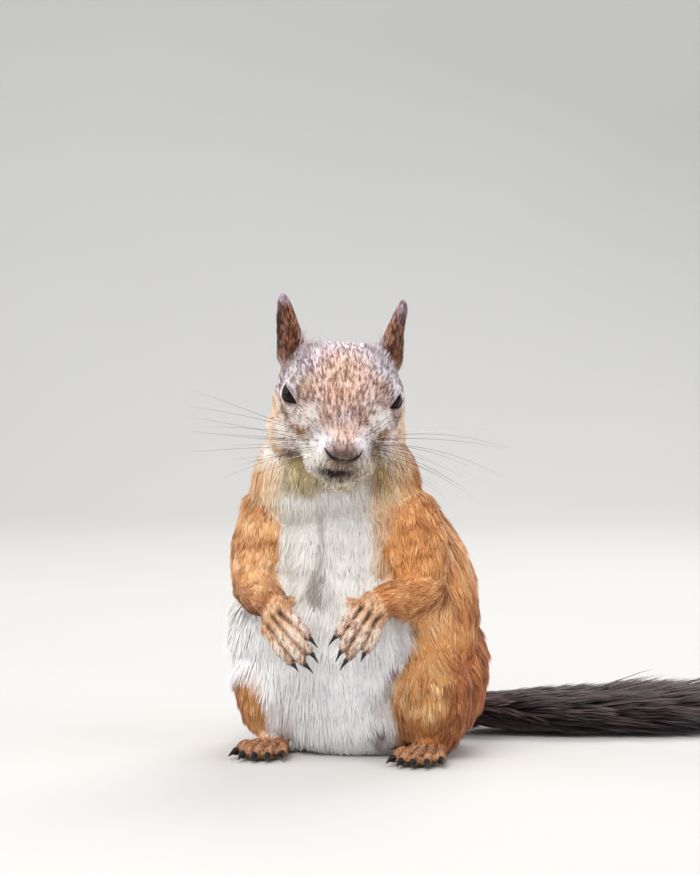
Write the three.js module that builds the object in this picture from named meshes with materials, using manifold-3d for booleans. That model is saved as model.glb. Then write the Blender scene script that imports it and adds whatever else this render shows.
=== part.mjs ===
// A red squirrel sitting up on its haunches with its hands in front of its belly, life size.
// Millimetres, +Z up. The animal faces -Y, so its own left side is towards +X.
import * as THREE from 'three';
import Module from 'manifold-3d';

const wasm = await Module();
wasm.setup();

// ---------------------------------------------------------------- named sizes
const GAP = 0.3; // clearance that touching pieces keep
const RAD = Math.PI / 180;
const BODY_YAW = 17 * RAD; // the body turns its belly a little towards -X
const LEFT = [Math.cos(BODY_YAW), -Math.sin(BODY_YAW), 0]; // across the body, to its own left

const HEAD = { x: -2, y: -22, z: 130, pitch: 18 * RAD, roll: 3.6 * RAD, yaw: 4.5 * RAD };
const EYE = { s: 6.8, t: 16.0, h: 6.2, r: 5.3, lid: 6.2 };
const EAR = {
  tipS: -16,
  tipT: { left: 21.6, right: 22.6 },
  tipH: 35,
  baseS: -10,
  baseT: 16.6,
  baseH: 10,
  cupOut: 3.0, // how far outwards the middle of its cup lies
};
const CLAW = { hand: 3.8, little: 2.8, foot: 4.6, rHand: 0.85, rFoot: 1.2 };
const TAIL = {
  length: 150,
  rootEnd: 0.26, // share of the tail that is its short-haired root
  rootRadius: 11, // of that root at the rump, across and up
  coreWide: 10.5, // half width of the core, across the floor
  coreHigh: 6.6,
  rows: 12, // rows of locks along the brush
  hairSide: 36, // length of the locks at the sides
  hairTop: 27, // and on top and below
  leanSide: 52, // degrees from the tail's line as they leave it
  leanTop: 13,
  lockWide: 4.1, // half width and half thickness of a lock
  lockThick: 0.95,
  sink: 2.5, // how far a root sinks in
};

// ---------------------------------------------------------------- vectors
const V = (p) => new THREE.Vector3(p[0], p[1], p[2]);
const add = (p, q, k = 1) => [p[0] + q[0] * k, p[1] + q[1] * k, p[2] + q[2] * k];
const mix = (p, q, k) => p.map((n, i) => n + (q[i] - n) * k);

let seed = 20417;
function draw() { // a seeded draw, 0 to 1
  seed = (seed * 1664525 + 1013904223) % 4294967296;
  return seed / 4294967296;
}
const spread = (k) => (draw() * 2 - 1) * k;

// A place on the head: s along the snout, t to the animal's left, h up from the head's axis.
function onHead(s, t, h) {
  const t2 = t * Math.cos(HEAD.roll) + h * Math.sin(HEAD.roll);
  const h2 = h * Math.cos(HEAD.roll) - t * Math.sin(HEAD.roll);
  const c = Math.cos(HEAD.pitch);
  const n = Math.sin(HEAD.pitch);
  const back = -s * c - h2 * n;
  const [cy, sy] = [Math.cos(HEAD.yaw), Math.sin(HEAD.yaw)];
  return [HEAD.x + t2 * cy - back * sy, HEAD.y + t2 * sy + back * cy, HEAD.z - s * n + h2 * c];
}

// ---------------------------------------------------------------- forms
const smooth = (a, b, c, d, k) => { // Catmull-Rom between b and c
  const k2 = k * k;
  const k3 = k2 * k;
  return 0.5 * (2 * b + (c - a) * k + (2 * a - 5 * b + 4 * c - d) * k2 + (3 * b - a - 3 * c + d) * k3);
};

// A closed body of rounded sections strung along a smooth line.
// A station is [x, y, z, sideways, up] or [x, y, z, side+, side-, up+, up-].
// ref is the direction that sideways follows; up is across it and the line.
function loft(stations, o = {}) {
  const { ref = [1, 0, 0], seg = 16, rings = 10, cap = [3, 3], n = 2, grow = 0, capRings = 3 } = o;
  const rows = stations.map((s) => (s.length === 5 ? [s[0], s[1], s[2], s[3], s[3], s[4], s[4]] : s));
  const at = (k) => rows[Math.max(0, Math.min(rows.length - 1, k))];
  const line = [];
  for (let r = 0; r <= rings; r++) {
    const f = (r / rings) * (rows.length - 1);
    const k = Math.min(rows.length - 2, Math.floor(f));
    line.push(at(k).map((_, i) => smooth(at(k - 1)[i], at(k)[i], at(k + 1)[i], at(k + 2)[i], f - k)));
  }
  const frames = line.map((row, i) => {
    const a = V(line[Math.max(0, i - 1)]);
    const b = V(line[Math.min(line.length - 1, i + 1)]);
    const t = b.sub(a).normalize();
    const u = V(ref).addScaledVector(t, -V(ref).dot(t)).normalize();
    return { p: V(row), r: row.slice(3).map((x) => Math.max(0.05, x + grow)), t, u, v: t.clone().cross(u) };
  });
  const all = [];
  const first = frames[0];
  const last = frames[frames.length - 1];
  const [h0, h1] = [cap[0] + grow, cap[1] + grow];
  const dome = (f, h, a) => ({
    ...f,
    p: f.p.clone().addScaledVector(f.t, h * Math.sin(a)),
    r: f.r.map((x) => x * Math.cos(a)),
  });
  for (let i = capRings; i > 0; i--) {
    if (h0 > 0.5) all.push(dome(first, -h0, (i / (capRings + 1)) * Math.PI / 2));
  }
  if (h0 > 0 && h0 <= 0.5) first.p.addScaledVector(first.t, -grow);
  if (h1 > 0 && h1 <= 0.5) last.p.addScaledVector(last.t, grow);
  all.push(...frames);
  for (let i = 1; i <= capRings; i++) {
    if (h1 > 0.5) all.push(dome(last, h1, (i / (capRings + 1)) * Math.PI / 2));
  }
  const pos = [];
  for (const f of all) {
    for (let j = 0; j < seg; j++) {
      const a = (j / seg) * Math.PI * 2;
      const [c, s] = [Math.cos(a), Math.sin(a)];
      const cu = Math.sign(c) * Math.abs(c) ** (2 / n) * (c > 0 ? f.r[0] : f.r[1]);
      const cv = Math.sign(s) * Math.abs(s) ** (2 / n) * (s > 0 ? f.r[2] : f.r[3]);
      const q = f.p.clone().addScaledVector(f.u, cu).addScaledVector(f.v, cv);
      pos.push(q.x, q.y, q.z);
    }
  }
  const start = first.p.clone().addScaledVector(first.t, h0 > 0.5 ? -h0 : 0);
  const end = last.p.clone().addScaledVector(last.t, h1 > 0.5 ? h1 : 0);
  pos.push(start.x, start.y, start.z, end.x, end.y, end.z);
  const idx = [];
  const m = all.length;
  for (let i = 0; i < m - 1; i++) {
    for (let j = 0; j < seg; j++) {
      const [a, b] = [i * seg + j, i * seg + ((j + 1) % seg)];
      idx.push(a, b, b + seg, a, b + seg, a + seg);
    }
  }
  for (let j = 0; j < seg; j++) {
    const k = (j + 1) % seg;
    idx.push(m * seg, k, j, m * seg + 1, (m - 1) * seg + j, (m - 1) * seg + k);
  }
  return solid(pos, idx);
}

function solid(pos, idx) {
  const mesh = new wasm.Mesh({
    numProp: 3,
    vertProperties: new Float32Array(pos),
    triVerts: new Uint32Array(idx),
  });
  return new wasm.Manifold(mesh);
}

// An ellipsoid with its axes along three directions.
function egg(center, sizes, axes = [[1, 0, 0], [0, 1, 0], [0, 0, 1]], wide = 14, high = 9) {
  const g = new THREE.SphereGeometry(1, wide, high);
  const place = new THREE.Matrix4().makeBasis(
    V(axes[0]).multiplyScalar(sizes[0]),
    V(axes[1]).multiplyScalar(sizes[1]),
    V(axes[2]).multiplyScalar(sizes[2]),
  ).setPosition(V(center));
  g.applyMatrix4(place);
  return fromGeometry(g, place.determinant() < 0);
}

function fromGeometry(g, flip = false) {
  const p = g.attributes.position;
  const key = new Map();
  const pos = [];
  const to = [];
  for (let i = 0; i < p.count; i++) {
    const name = [p.getX(i), p.getY(i), p.getZ(i)].map((n) => Math.round(n * 1e4)).join();
    if (!key.has(name)) {
      key.set(name, pos.length / 3);
      pos.push(p.getX(i), p.getY(i), p.getZ(i));
    }
    to.push(key.get(name));
  }
  const idx = [];
  for (let i = 0; i < g.index.count; i += 3) {
    const t = [0, 1, 2].map((k) => to[g.index.getX(i + k)]);
    if (t[0] === t[1] || t[1] === t[2] || t[0] === t[2]) continue;
    idx.push(...(flip ? [t[0], t[2], t[1]] : t));
  }
  return solid(pos, idx);
}

const joined = (list) => list.reduce((a, b) => a.add(b));
const cut = (a, ...rest) => rest.reduce((x, y) => x.subtract(y), a);

function bulk(mesh) { // volume inside a closed mesh
  const { vertProperties: p, triVerts: t } = mesh;
  let sum = 0;
  for (let i = 0; i < t.length; i += 3) {
    const [a, b, c] = [0, 1, 2].map((k) => new THREE.Vector3(...p.slice(t[i + k] * 3, t[i + k] * 3 + 3)));
    sum += a.dot(b.cross(c)) / 6;
  }
  return sum;
}

const floorCut = (() => {
  const g = new THREE.BoxGeometry(900, 900, 60);
  g.translate(0, 0, -30);
  return fromGeometry(g);
})();

const group = new THREE.Group();
group.name = 'squirrel';

function put(name, body, look) {
  const parts = body.decompose().map((b) => b.getMesh());
  parts.sort((a, b) => bulk(b) - bulk(a));
  const best = parts[0];
  const g = new THREE.BufferGeometry();
  g.setAttribute('position', new THREE.BufferAttribute(new Float32Array(best.vertProperties), 3));
  g.setIndex(new THREE.BufferAttribute(new Uint32Array(best.triVerts), 1));
  const flat = g.toNonIndexed();
  flat.computeVertexNormals();
  const mesh = new THREE.Mesh(flat, look);
  mesh.name = name;
  group.add(mesh);
  return mesh;
}

const look = (color, roughness = 0.9) => new THREE.MeshStandardMaterial({ color, roughness, metalness: 0 });
const RUST = look(0xb5673a);
const PALE = look(0xe6dfd6);
const CROWN = look(0xa97a60);
const EARTH = look(0x5b3a33);
const PAW = look(0xb87a4c);
const HORN = look(0x1f1b1a, 0.4);
const BALL = look(0x0b0908, 0.08);
const BRUSH = look(0x3a2a30);

// ---------------------------------------------------------------- torso and neck
// [x, y, z, left, right, back, front]
const torsoRows = [
  [7, 9, 5, 24, 26, 22, 24],
  [5.5, 6, 17, 37, 38, 31, 30],
  [4.5, 3, 34, 44, 47, 35, 32.5],
  [4.5, 1, 52, 48, 48.5, 35, 34],
  [4, -2, 70, 45, 40, 31, 28],
  [1.5, -6, 86, 36, 35, 26, 23],
  [-1, -10, 99, 26, 29, 20, 19],
];
const torso = (grow) => loft(torsoRows, {
  ref: LEFT, seg: 22, rings: 11, cap: [7, 6], capRings: 2, grow, n: 2.1,
});
const torsoFat = torso(GAP);

const neckRows = [
  [0, -7, 92, 30, 33, 20, 18],
  [-1.5, -11, 101, 30.5, 34, 22, 21],
  [-2.5, -15, 111, 28, 31, 22, 20],
  [-2.5, -18, 122, 24, 26, 19.5, 15],
];
const neck = (grow) => loft(neckRows, {
  ref: mix([1, 0, 0], LEFT, 0.5), seg: 18, rings: 5, cap: [3, 4], capRings: 1, grow,
});

// ---------------------------------------------------------------- head
// [s, h, half width, up, down]
const headRows = [
  [-19, 0, 18, 15, 15],
  [-10, 0.5, 23.3, 21, 19.5],
  [0, 0, 24.6, 21.8, 21.5],
  [8, -2.6, 22.2, 18.6, 19.5],
  [15, -7, 17.4, 14.2, 16],
  [21, -9.2, 13.2, 10.4, 13.4],
  [26, -9, 10, 7.2, 10.6],
  [29.4, -8, 7, 5, 8.4],
].map(([s, h, w, up, down]) => [...onHead(s, 0, h), w, w, up, down]);
const headAxes = (() => {
  const o = onHead(0, 0, 0);
  return [onHead(0, 1, 0), onHead(1, 0, 0), onHead(0, 0, 1)].map((p) => add(p, o, -1));
})();
const [SIDE, SNOUT, UP] = headAxes;
const skull = (grow) => loft(headRows, {
  ref: SIDE, seg: 20, rings: 12, cap: [6, 2.6], capRings: 2, grow, n: 2.15,
});

const MIRROR = [1, -1]; // the animal's left, then its right
// [s, t, h, then the half sizes along the snout's side, the snout and up]
const PAD = [21.5, 6.2, -13, 7.0, 7.8, 6.4]; // under the whiskers, one a side
const CHIN = [20.4, -0.4, -19.6, 6.4, 8.2, 4.7];
const CHEEK = [1, 12.5, -9.5, 13.2, 15, 12]; // one a side
const mound = ([s, t, h, ...sizes], k, grow) => (
  egg(onHead(s, t * k, h), sizes.map((r) => r + grow), headAxes, 12, 8)
);
const muzzle = (grow) => [
  ...MIRROR.map((k) => mound(PAD, k, grow)),
  mound(CHIN, 1, grow),
  ...MIRROR.map((k) => mound(CHEEK, k, grow)),
];
const headFat = [skull(GAP), ...muzzle(GAP)];

const gaze = (k) => {
  const g = V(SIDE).multiplyScalar(0.82 * k);
  return g.addScaledVector(V(SNOUT), 0.53).addScaledVector(V(UP), 0.24).normalize();
};
const eyeAt = (k) => onHead(EYE.s, EYE.t * k, EYE.h);

function lidOpening(k) { // an almond through both lids, its front corner low
  const g = gaze(k);
  const from = V(eyeAt(k)).addScaledVector(g, 0.6);
  const to = V(eyeAt(k)).addScaledVector(g, 9);
  const lie = V(SNOUT).multiplyScalar(0.9).addScaledVector(V(UP), -0.42);
  return loft([
    [from.x, from.y, from.z, 3.6, 2.4],
    [...mix(from.toArray(), to.toArray(), 0.5), 4.6, 3.1],
    [to.x, to.y, to.z, 6.4, 4.4],
  ], { ref: lie.toArray(), seg: 12, rings: 2, cap: [0, 0], n: 1.65 });
}

function nostril(k) { // a slit that runs down and in, round the nose tip
  const rows = [
    [27.8, 6.8, -5.6, 0.75, 0.75],
    [30.0, 5.4, -7.4, 0.95, 0.95],
    [31.4, 3.2, -8.8, 0.75, 0.75],
    [31.9, 1.0, -9.5, 0.5, 0.5],
  ].map(([s, t, h, a, b]) => [...onHead(s, t * k, h), a, b]);
  return loft(rows, { ref: SNOUT, seg: 5, rings: 4, cap: [0.6, 0.6], capRings: 0 });
}

const mouthLine = (() => { // the line between the lips, and the cleft up to the nose
  const rows = [-9, -6, -3, 0, 3, 6, 9].map((t) => {
    const bow = Math.abs(t) / 9;
    return [...onHead(27.6 - 6.2 * bow * bow, t - 0.6, -17.3 + 2.4 * bow * bow), 2.2, 0.55];
  });
  return loft(rows, { ref: SNOUT, seg: 5, rings: 6, cap: [0.8, 0.8], capRings: 1 });
})();
const cleft = loft([
  [...onHead(31.5, 0, -10.6), 0.4, 1.2],
  [...onHead(29.6, 0, -13.9), 0.4, 1.6],
  [...onHead(27.6, 0, -17.1), 0.4, 1.4],
], { ref: SIDE, seg: 6, rings: 3, cap: [0.6, 0.6], capRings: 1 });

const lidDomes = MIRROR.map((k) => egg(eyeAt(k), [EYE.lid, EYE.lid, EYE.lid], headAxes, 12, 8));
const socket = (k) => egg(eyeAt(k), [EYE.r + GAP, EYE.r + GAP, EYE.r + GAP], headAxes, 12, 8);
const headBody = cut(
  joined([skull(0), ...muzzle(0), ...lidDomes]),
  ...MIRROR.map(lidOpening),
  ...MIRROR.map(socket),
  ...MIRROR.map(nostril),
  mouthLine,
  cleft,
);
put('torso', cut(torso(0), floorCut), PALE);
put('neck', cut(neck(0), torsoFat, ...headFat), PALE);
put('head', headBody, CROWN);
for (const k of MIRROR) {
  put(k > 0 ? 'eye_left' : 'eye_right', egg(eyeAt(k), [EYE.r, EYE.r, EYE.r], headAxes, 12, 8), BALL);
}

// ---------------------------------------------------------------- ears
// [share of the way from base to tip, half width, half depth]
const LEAF = [
  [0, 6.0, 4.6],
  [0.22, 7.2, 4.4],
  [0.45, 7.4, 3.5],
  [0.65, 6.3, 2.7],
  [0.83, 4.4, 2.1],
  [0.95, 2.7, 1.6],
];
const CUP = [
  [0.4, 2.5, 1.6],
  [0.5, 4.9, 2.6],
  [0.64, 4.6, 2.3],
  [0.78, 3.2, 1.8],
  [0.9, 1.5, 1.0],
];
for (const k of MIRROR) {
  const at = (f, out = 0) => {
    const s = EAR.baseS + (EAR.tipS - EAR.baseS) * f;
    const t = EAR.baseT + (EAR.tipT[k > 0 ? 'left' : 'right'] - EAR.baseT) * f + out;
    return onHead(s, t * k, EAR.baseH + (EAR.tipH - EAR.baseH) * f);
  };
  const flat = V(SNOUT).multiplyScalar(0.9).addScaledVector(V(SIDE), -0.42 * k).toArray();
  const ear = loft(LEAF.map(([f, w, d]) => [...at(f), w, d]), {
    ref: flat, seg: 12, rings: 7, cap: [0, 2.2], capRings: 1,
  });
  const hollow = loft(CUP.map(([f, w, d]) => [...at(f, EAR.cupOut), w, d]), {
    ref: flat, seg: 10, rings: 6, cap: [1.5, 1.2], capRings: 1,
  });
  put(k > 0 ? 'ear_left' : 'ear_right', cut(ear, hollow, ...headFat), EARTH);
}

// ---------------------------------------------------------------- claws
// A curved claw from a root along a direction, hooking down.
function claw(root, dir, hook, length, r) {
  const rows = [0, 0.3, 0.6, 0.85, 1].map((f) => {
    const p = add(add(root, dir, length * f), hook, length * 0.32 * f * f);
    const w = r * (1 - 0.82 * f);
    return [...p, w, w * 1.35];
  });
  const ref = V(dir).cross(V(hook)).normalize().toArray();
  return loft(rows, { ref, seg: 6, rings: 3, cap: [0, 0.51], capRings: 0 });
}

const unit = (p, q) => V(q).sub(V(p)).normalize().toArray();

// ---------------------------------------------------------------- arms
// Each finger is [knuckle, middle joint, end]; x and z as seen from the front, y is the reach.
const ARMS = {
  left: {
    upper: [[21, -14, 91, 13.5, 12], [24, -21, 79, 14.8, 13], [27.5, -25, 68, 12, 12]],
    fore: [[29, -25, 65, 9.6, 10], [23.5, -34, 62, 8.4, 8.8], [14.5, -42, 61.5, 6, 6.2]],
    palm: [[12.5, -43.5, 60.6, 5.4, 3.9], [9.6, -45.2, 57.4, 6.4, 3.7], [7.2, -45.8, 53.8, 6.6, 3.1]],
    across: [0.84, 0.1, -0.54],
    fingers: [
      [[3.6, -45.4, 57.4], [0.6, -47.6, 54.2], [-2.0, -47.2, 50.4]],
      [[5.6, -46.4, 55.0], [2.4, -48.8, 50.4], [-0.4, -48.0, 45.2]],
      [[8.2, -46.4, 52.8], [5.0, -48.8, 47.4], [1.6, -47.8, 41.8]],
      [[11.4, -45.4, 52.4], [10.4, -47.4, 48.2], [8.0, -46.6, 44.0]],
    ],
    clawDirs: [[-0.7, -0.25, -0.66], [-0.52, -0.3, -0.8], [-0.62, -0.3, -0.72], [-0.5, -0.25, -0.83]],
    thumb: [[4.6, -43.6, 59.6], [1.6, -44.6, 60.8]],
  },
  right: {
    upper: [[-26, -5, 90, 12.5, 12], [-31.5, -8, 77, 11.4, 12], [-33.5, -11.5, 66, 9.4, 11]],
    fore: [[-33, -11, 63.5, 8.2, 9], [-30.5, -24, 60.5, 7.6, 8], [-26.5, -34.5, 59.8, 5.8, 6.2]],
    palm: [[-25.6, -36.4, 58.8, 5.4, 3.9], [-24.2, -38.6, 54.8, 6.3, 3.7], [-22.8, -39.8, 51.2, 6.6, 3.1]],
    across: [-0.76, 0.16, -0.62],
    fingers: [
      [[-20.6, -39.6, 55.0], [-17.0, -42.2, 52.6], [-13.9, -42.2, 48.8]],
      [[-21.6, -40.4, 52.6], [-17.4, -43.4, 48.6], [-13.2, -43.0, 43.4]],
      [[-23.9, -40.2, 50.0], [-19.8, -43.0, 45.0], [-15.6, -42.6, 39.4]],
      [[-26.9, -38.8, 48.6], [-24.0, -41.0, 43.8], [-20.0, -40.8, 39.2]],
    ],
    clawDirs: [[0.72, -0.2, -0.66], [0.66, -0.3, -0.7], [0.78, -0.25, -0.58], [0.7, -0.25, -0.68]],
    thumb: [[-22.4, -36.4, 59.4], [-19.4, -37.2, 60.6]],
  },
};

for (const side of ['left', 'right']) {
  const a = ARMS[side];
  const upperArm = (grow) => loft(a.upper, { ref: [1, 0, 0], seg: 16, rings: 6, cap: [9, 6], grow });
  const forearm = (grow) => loft(a.fore, {
    ref: [0, 0, 1], seg: 14, rings: 6, cap: [6, 3.5], capRings: 2, grow,
  });
  const palm = loft(a.palm, { ref: a.across, seg: 10, rings: 3, cap: [4, 3], capRings: 1 });
  const fingers = a.fingers.map((f, i) => {
    const r = [2.05, 2.25, 2.25, 2.05][i];
    const near = add(f[0], unit(f[0], f[1]), -3);
    const rows = [
      [...near, r + 0.3, r],
      [...f[0], r + 0.2, r],
      [...f[1], r, r],
      [...f[2], r * 0.8, r * 0.8],
    ];
    return loft(rows, { ref: a.across, seg: 8, rings: 4, cap: [1.5, 1.4], capRings: 1 });
  });
  const t = a.thumb;
  const thumb = loft([[...t[0], 2.1, 2.1], [...mix(t[0], t[1], 0.6), 1.8, 1.8], [...t[1], 1.3, 1.3]],
    { ref: a.across, seg: 6, rings: 3, cap: [1.5, 1.1], capRings: 1 });
  const claws = a.fingers.map((f, i) => {
    const dir = unit([0, 0, 0], a.clawDirs[i]);
    const root = add(f[2], unit(f[1], f[2]), 1.4 + GAP);
    return claw(root, dir, [0, 0.7, -0.7], i === 3 ? CLAW.little : CLAW.hand, CLAW.rHand);
  });
  put(`upper_arm_${side}`, cut(upperArm(0), torsoFat, neck(GAP), ...headFat), RUST);
  put(`forearm_${side}`, cut(forearm(0), torsoFat, upperArm(GAP)), RUST);
  put(`hand_${side}`, cut(joined([palm, ...fingers, thumb]), forearm(GAP), torsoFat), PAW);
  claws.forEach((c, i) => put(`claw_hand_${side}_${i + 1}`, c, HORN));
}

// ---------------------------------------------------------------- hind legs
// Rows as in the torso; heel and toes are the ends of the foot's midline.
const TOE_ACROSS = [-7.4, -4.1, -0.1, 3.9, 7.2]; // each toe's place across the foot
const TOE_REACH = [5.2, 9.6, 10.6, 9.4, 4.6]; // and how far it goes past the midline's end
const LEGS = {
  left: {
    thigh: [[39, 19, 29, 15, 15, 23, 26], [39, 6, 30, 16.5, 17, 25, 27], [35.5, -7, 31, 17, 18, 23, 25]],
    shank: [
      [31.5, -17, 41, 12, 12, 14, 12],
      [31, -20, 29, 16.5, 16, 17, 15],
      [32.5, -17, 16, 15, 14.5, 15, 14],
      [35, -9, 8.5, 10, 10, 10, 10],
    ],
    heel: [36.5, 1, 4],
    toes: [28, -31, 3],
  },
  right: {
    thigh: [[-18, 31, 29, 14, 14, 22, 25], [-24, 20, 28.5, 16, 16, 24, 26], [-27, 7, 29, 16, 16.5, 22, 24]],
    shank: [
      [-27, 0, 38, 11, 12, 12, 12],
      [-27.5, -2, 27, 13.5, 15, 15, 14],
      [-26.5, 1, 15, 12, 13.5, 13, 12],
      [-23.5, 8, 8.5, 9, 9, 9, 9],
    ],
    heel: [-20.5, 16, 4],
    toes: [-29.5, -15.5, 3],
  },
};
const thighOf = (side, grow) => loft(LEGS[side].thigh, {
  ref: LEFT, seg: 16, rings: 6, cap: [12, 10], capRings: 2, grow, n: 2.1,
});

for (const side of ['left', 'right']) {
  const g = LEGS[side];
  const out = side === 'left' ? 1 : -1;
  const shank = (grow) => loft(g.shank, { ref: LEFT, seg: 14, rings: 6, cap: [10, 4], capRings: 2, grow });
  const along = unit(g.heel, g.toes);
  const over = [-along[1] * out, along[0] * out, 0]; // from the foot's midline outwards
  const foot = loft([
    [...g.heel, 4.6, 4.6, 5.2, 5.2],
    [...mix(g.heel, g.toes, 0.35), 5.4, 5.4, 4.9, 4.9],
    [...mix(g.heel, g.toes, 0.7), 7.0, 7.0, 4.6, 4.0],
    [...g.toes, 7.4, 7.4, 3.8, 3.6],
  ], { ref: over, seg: 12, rings: 4, cap: [4.5, 3], capRings: 1, n: 2.3 });
  const toeRows = TOE_ACROSS.map((w, i) => {
    const root = add(add(g.toes, over, w * 0.8), along, -2);
    const end = add(add(g.toes, over, w * 1.12), along, TOE_REACH[i]);
    return { root, mid: add(mix(root, end, 0.55), [0, 0, 1], 1.4), end: add(end, [0, 0, 1], -0.2) };
  });
  const toes = toeRows.map((w) => loft([[...w.root, 2.4, 2.6], [...w.mid, 2.2, 2.3], [...w.end, 2.0, 2.2]],
    { ref: over, seg: 7, rings: 3, cap: [1.5, 1.8], capRings: 1 }));
  const claws = toeRows.map((w) => {
    const dir = unit(w.root, [w.end[0], w.end[1], w.root[2] + 0.6]);
    return claw(add(w.end, dir, 1.8 + GAP), dir, [0, 0, -1], CLAW.foot, CLAW.rFoot);
  });
  const thighFat = thighOf(side, GAP);
  put(`thigh_${side}`, cut(thighOf(side, 0), torsoFat, floorCut), RUST);
  put(`shank_${side}`, cut(shank(0), torsoFat, thighFat, floorCut), RUST);
  put(`foot_${side}`, cut(joined([foot, ...toes]), torsoFat, thighFat, shank(GAP), floorCut), PAW);
  claws.forEach((c, i) => put(`claw_foot_${side}_${i + 1}`, c, HORN));
}

// ---------------------------------------------------------------- tail
// The line of the tail on the floor, from the rump, round behind the left haunch and away.
const tailLine = new THREE.CatmullRomCurve3([
  [12, 33, 12], [33, 42, 10], [58, 47, 8.4], [84, 50, 7.4], [110, 54.5, 6.8], [132, 62, 6.4], [150, 73, 6],
].map(V));
const tailAt = (f) => {
  const p = tailLine.getPointAt(Math.min(1, f));
  const t = tailLine.getTangentAt(Math.min(1, f));
  const u = new THREE.Vector3(t.y, -t.x, 0).normalize(); // across, towards the front
  return { p, t, u, up: u.clone().cross(t).negate().normalize() };
};
function tube(f0, f1, wide, high, o) {
  const rows = [];
  for (let i = 0; i <= 6; i++) {
    const f = f0 + (f1 - f0) * (i / 6);
    const w = tailAt(f);
    rows.push([w.p.x, w.p.y, w.p.z, wide(f), high(f)]);
  }
  return loft(rows, { ref: [0, -1, 0], seg: 14, rings: 8, ...o });
}
const legsFat = ['left', 'right'].map((s) => thighOf(s, GAP));
const rootTube = (grow, endCap) => tube(
  0,
  TAIL.rootEnd,
  (f) => TAIL.rootRadius - 2 * f + grow,
  (f) => TAIL.rootRadius - 10 * f + grow,
  { cap: [4, endCap], rings: 6 },
);
put('tail_root', cut(rootTube(0, 0), torsoFat, floorCut, ...legsFat), BRUSH);

// A flat tapered lock from a root sunk in the core: it leaves along d0 and bends towards d1.
function lock(root, d0, d1, flat, length, wide, thick) {
  const start = root.clone().addScaledVector(d0, -TAIL.sink);
  const rows = [[0, 0.85, 1], [0.34, 1, 0.95], [0.7, 0.72, 0.6], [1, 0, 0]];
  const pos = [];
  const idx = [];
  rows.forEach(([f, w, h]) => {
    const c = start.clone();
    c.addScaledVector(d0, length * (f - 0.5 * f * f)).addScaledVector(d1, length * 0.5 * f * f);
    const way = d0.clone().lerp(d1, f).normalize();
    const up = flat.clone().addScaledVector(way, -flat.dot(way)).normalize();
    const side = way.clone().cross(up);
    const ring = w === 0 ? [c] : [
      c.clone().addScaledVector(side, wide * w),
      c.clone().addScaledVector(up, -thick * h),
      c.clone().addScaledVector(side, -wide * w),
      c.clone().addScaledVector(up, thick * h),
    ];
    ring.forEach((q) => pos.push(q.x, q.y, q.z));
  });
  for (let r = 0; r < 2; r++) {
    for (let j = 0; j < 4; j++) {
      const [a, b] = [r * 4 + j, r * 4 + ((j + 1) % 4)];
      idx.push(a, b, b + 4, a, b + 4, a + 4);
    }
  }
  for (let j = 0; j < 4; j++) idx.push(8 + j, 8 + ((j + 1) % 4), 12);
  idx.push(0, 2, 1, 0, 3, 2);
  return solid(pos, idx);
}

const hairStart = TAIL.rootEnd + GAP / TAIL.length + 0.002;
// short hair by the root, full from the middle
const fullness = (f) => Math.min(1, 0.32 + 2.1 * (f - TAIL.rootEnd));
const coreWide = (f) => TAIL.coreWide * (0.95 - 0.45 * f * f);
const coreHigh = (f) => TAIL.coreHigh * (1.15 - 0.4 * f);
const core = tube(hairStart, 0.94, coreWide, coreHigh, { cap: [0, 6], rings: 9, seg: 12, capRings: 2 });

const toward = (p, q, a) => {
  const d = p.clone().multiplyScalar(Math.cos(a));
  return d.addScaledVector(q, Math.sin(a)).normalize();
};

// A lock rooted on the core at this share of the tail and this angle round it.
function tuft(f, angle) {
  const w = tailAt(f);
  const [c, s] = [Math.cos(angle), Math.sin(angle)];
  const side = Math.abs(c);
  const root = w.p.clone();
  root.addScaledVector(w.u, c * coreWide(f) * 0.8).addScaledVector(w.up, s * coreHigh(f) * 0.8);
  const out = w.u.clone().multiplyScalar(c).addScaledVector(w.up, s * 0.55).normalize();
  const lean = TAIL.leanTop + (TAIL.leanSide - TAIL.leanTop) * side * side;
  const open = (lean * (1 - 0.45 * Math.max(0, f - 0.6)) + spread(4)) * RAD;
  const hair = TAIL.hairTop + (TAIL.hairSide - TAIL.hairTop) * side;
  const length = hair * fullness(f) * (1 + spread(0.08));
  const flat = w.up.clone().multiplyScalar(Math.sign(s) || 1);
  flat.addScaledVector(out, 0.25 * (1 - side)).normalize();
  const wide = TAIL.lockWide * (0.8 + 0.2 * fullness(f));
  const [d0, d1] = [toward(w.t, out, open), toward(w.t, out, open * 0.42)];
  return lock(root, d0, d1, flat, length, wide, TAIL.lockThick);
}

const tufts = [];
// two ranks at each side, staggered, and a few down the top and underside of the tail
for (let i = 0; i < TAIL.rows; i++) {
  const f = hairStart + 0.035 + (0.93 - hairStart - 0.035) * (i / (TAIL.rows - 1));
  for (const side of [0, Math.PI]) {
    tufts.push(tuft(f, side + (side ? -1 : 1) * 0.5 + spread(0.05)));
    tufts.push(tuft(f + 0.025, side + (side ? 1 : -1) * 0.5 + spread(0.05)));
  }
  if (i % 2 === 0) {
    for (const a of [1.05, 2.1]) tufts.push(tuft(f + 0.01, a + spread(0.08)));
    tufts.push(tuft(f + 0.02, -1.57 + spread(0.08)));
  }
}
for (let i = 0; i < 7; i++) { // the tip
  const w = tailAt(1);
  const a = (i - 3) * 8 * RAD;
  const root = tailAt(0.93).p.clone();
  root.addScaledVector(w.u, (i - 3) * 1.1).addScaledVector(w.up, (i % 2 ? 1 : -1) * 1.2);
  const length = TAIL.hairSide * (1.12 - 0.05 * Math.abs(i - 3));
  const [d0, d1] = [toward(w.t, w.u, a), toward(w.t, w.u, a * 0.5)];
  tufts.push(lock(root, d0, d1, w.up, length, TAIL.lockWide * 0.9, TAIL.lockThick));
}
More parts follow.
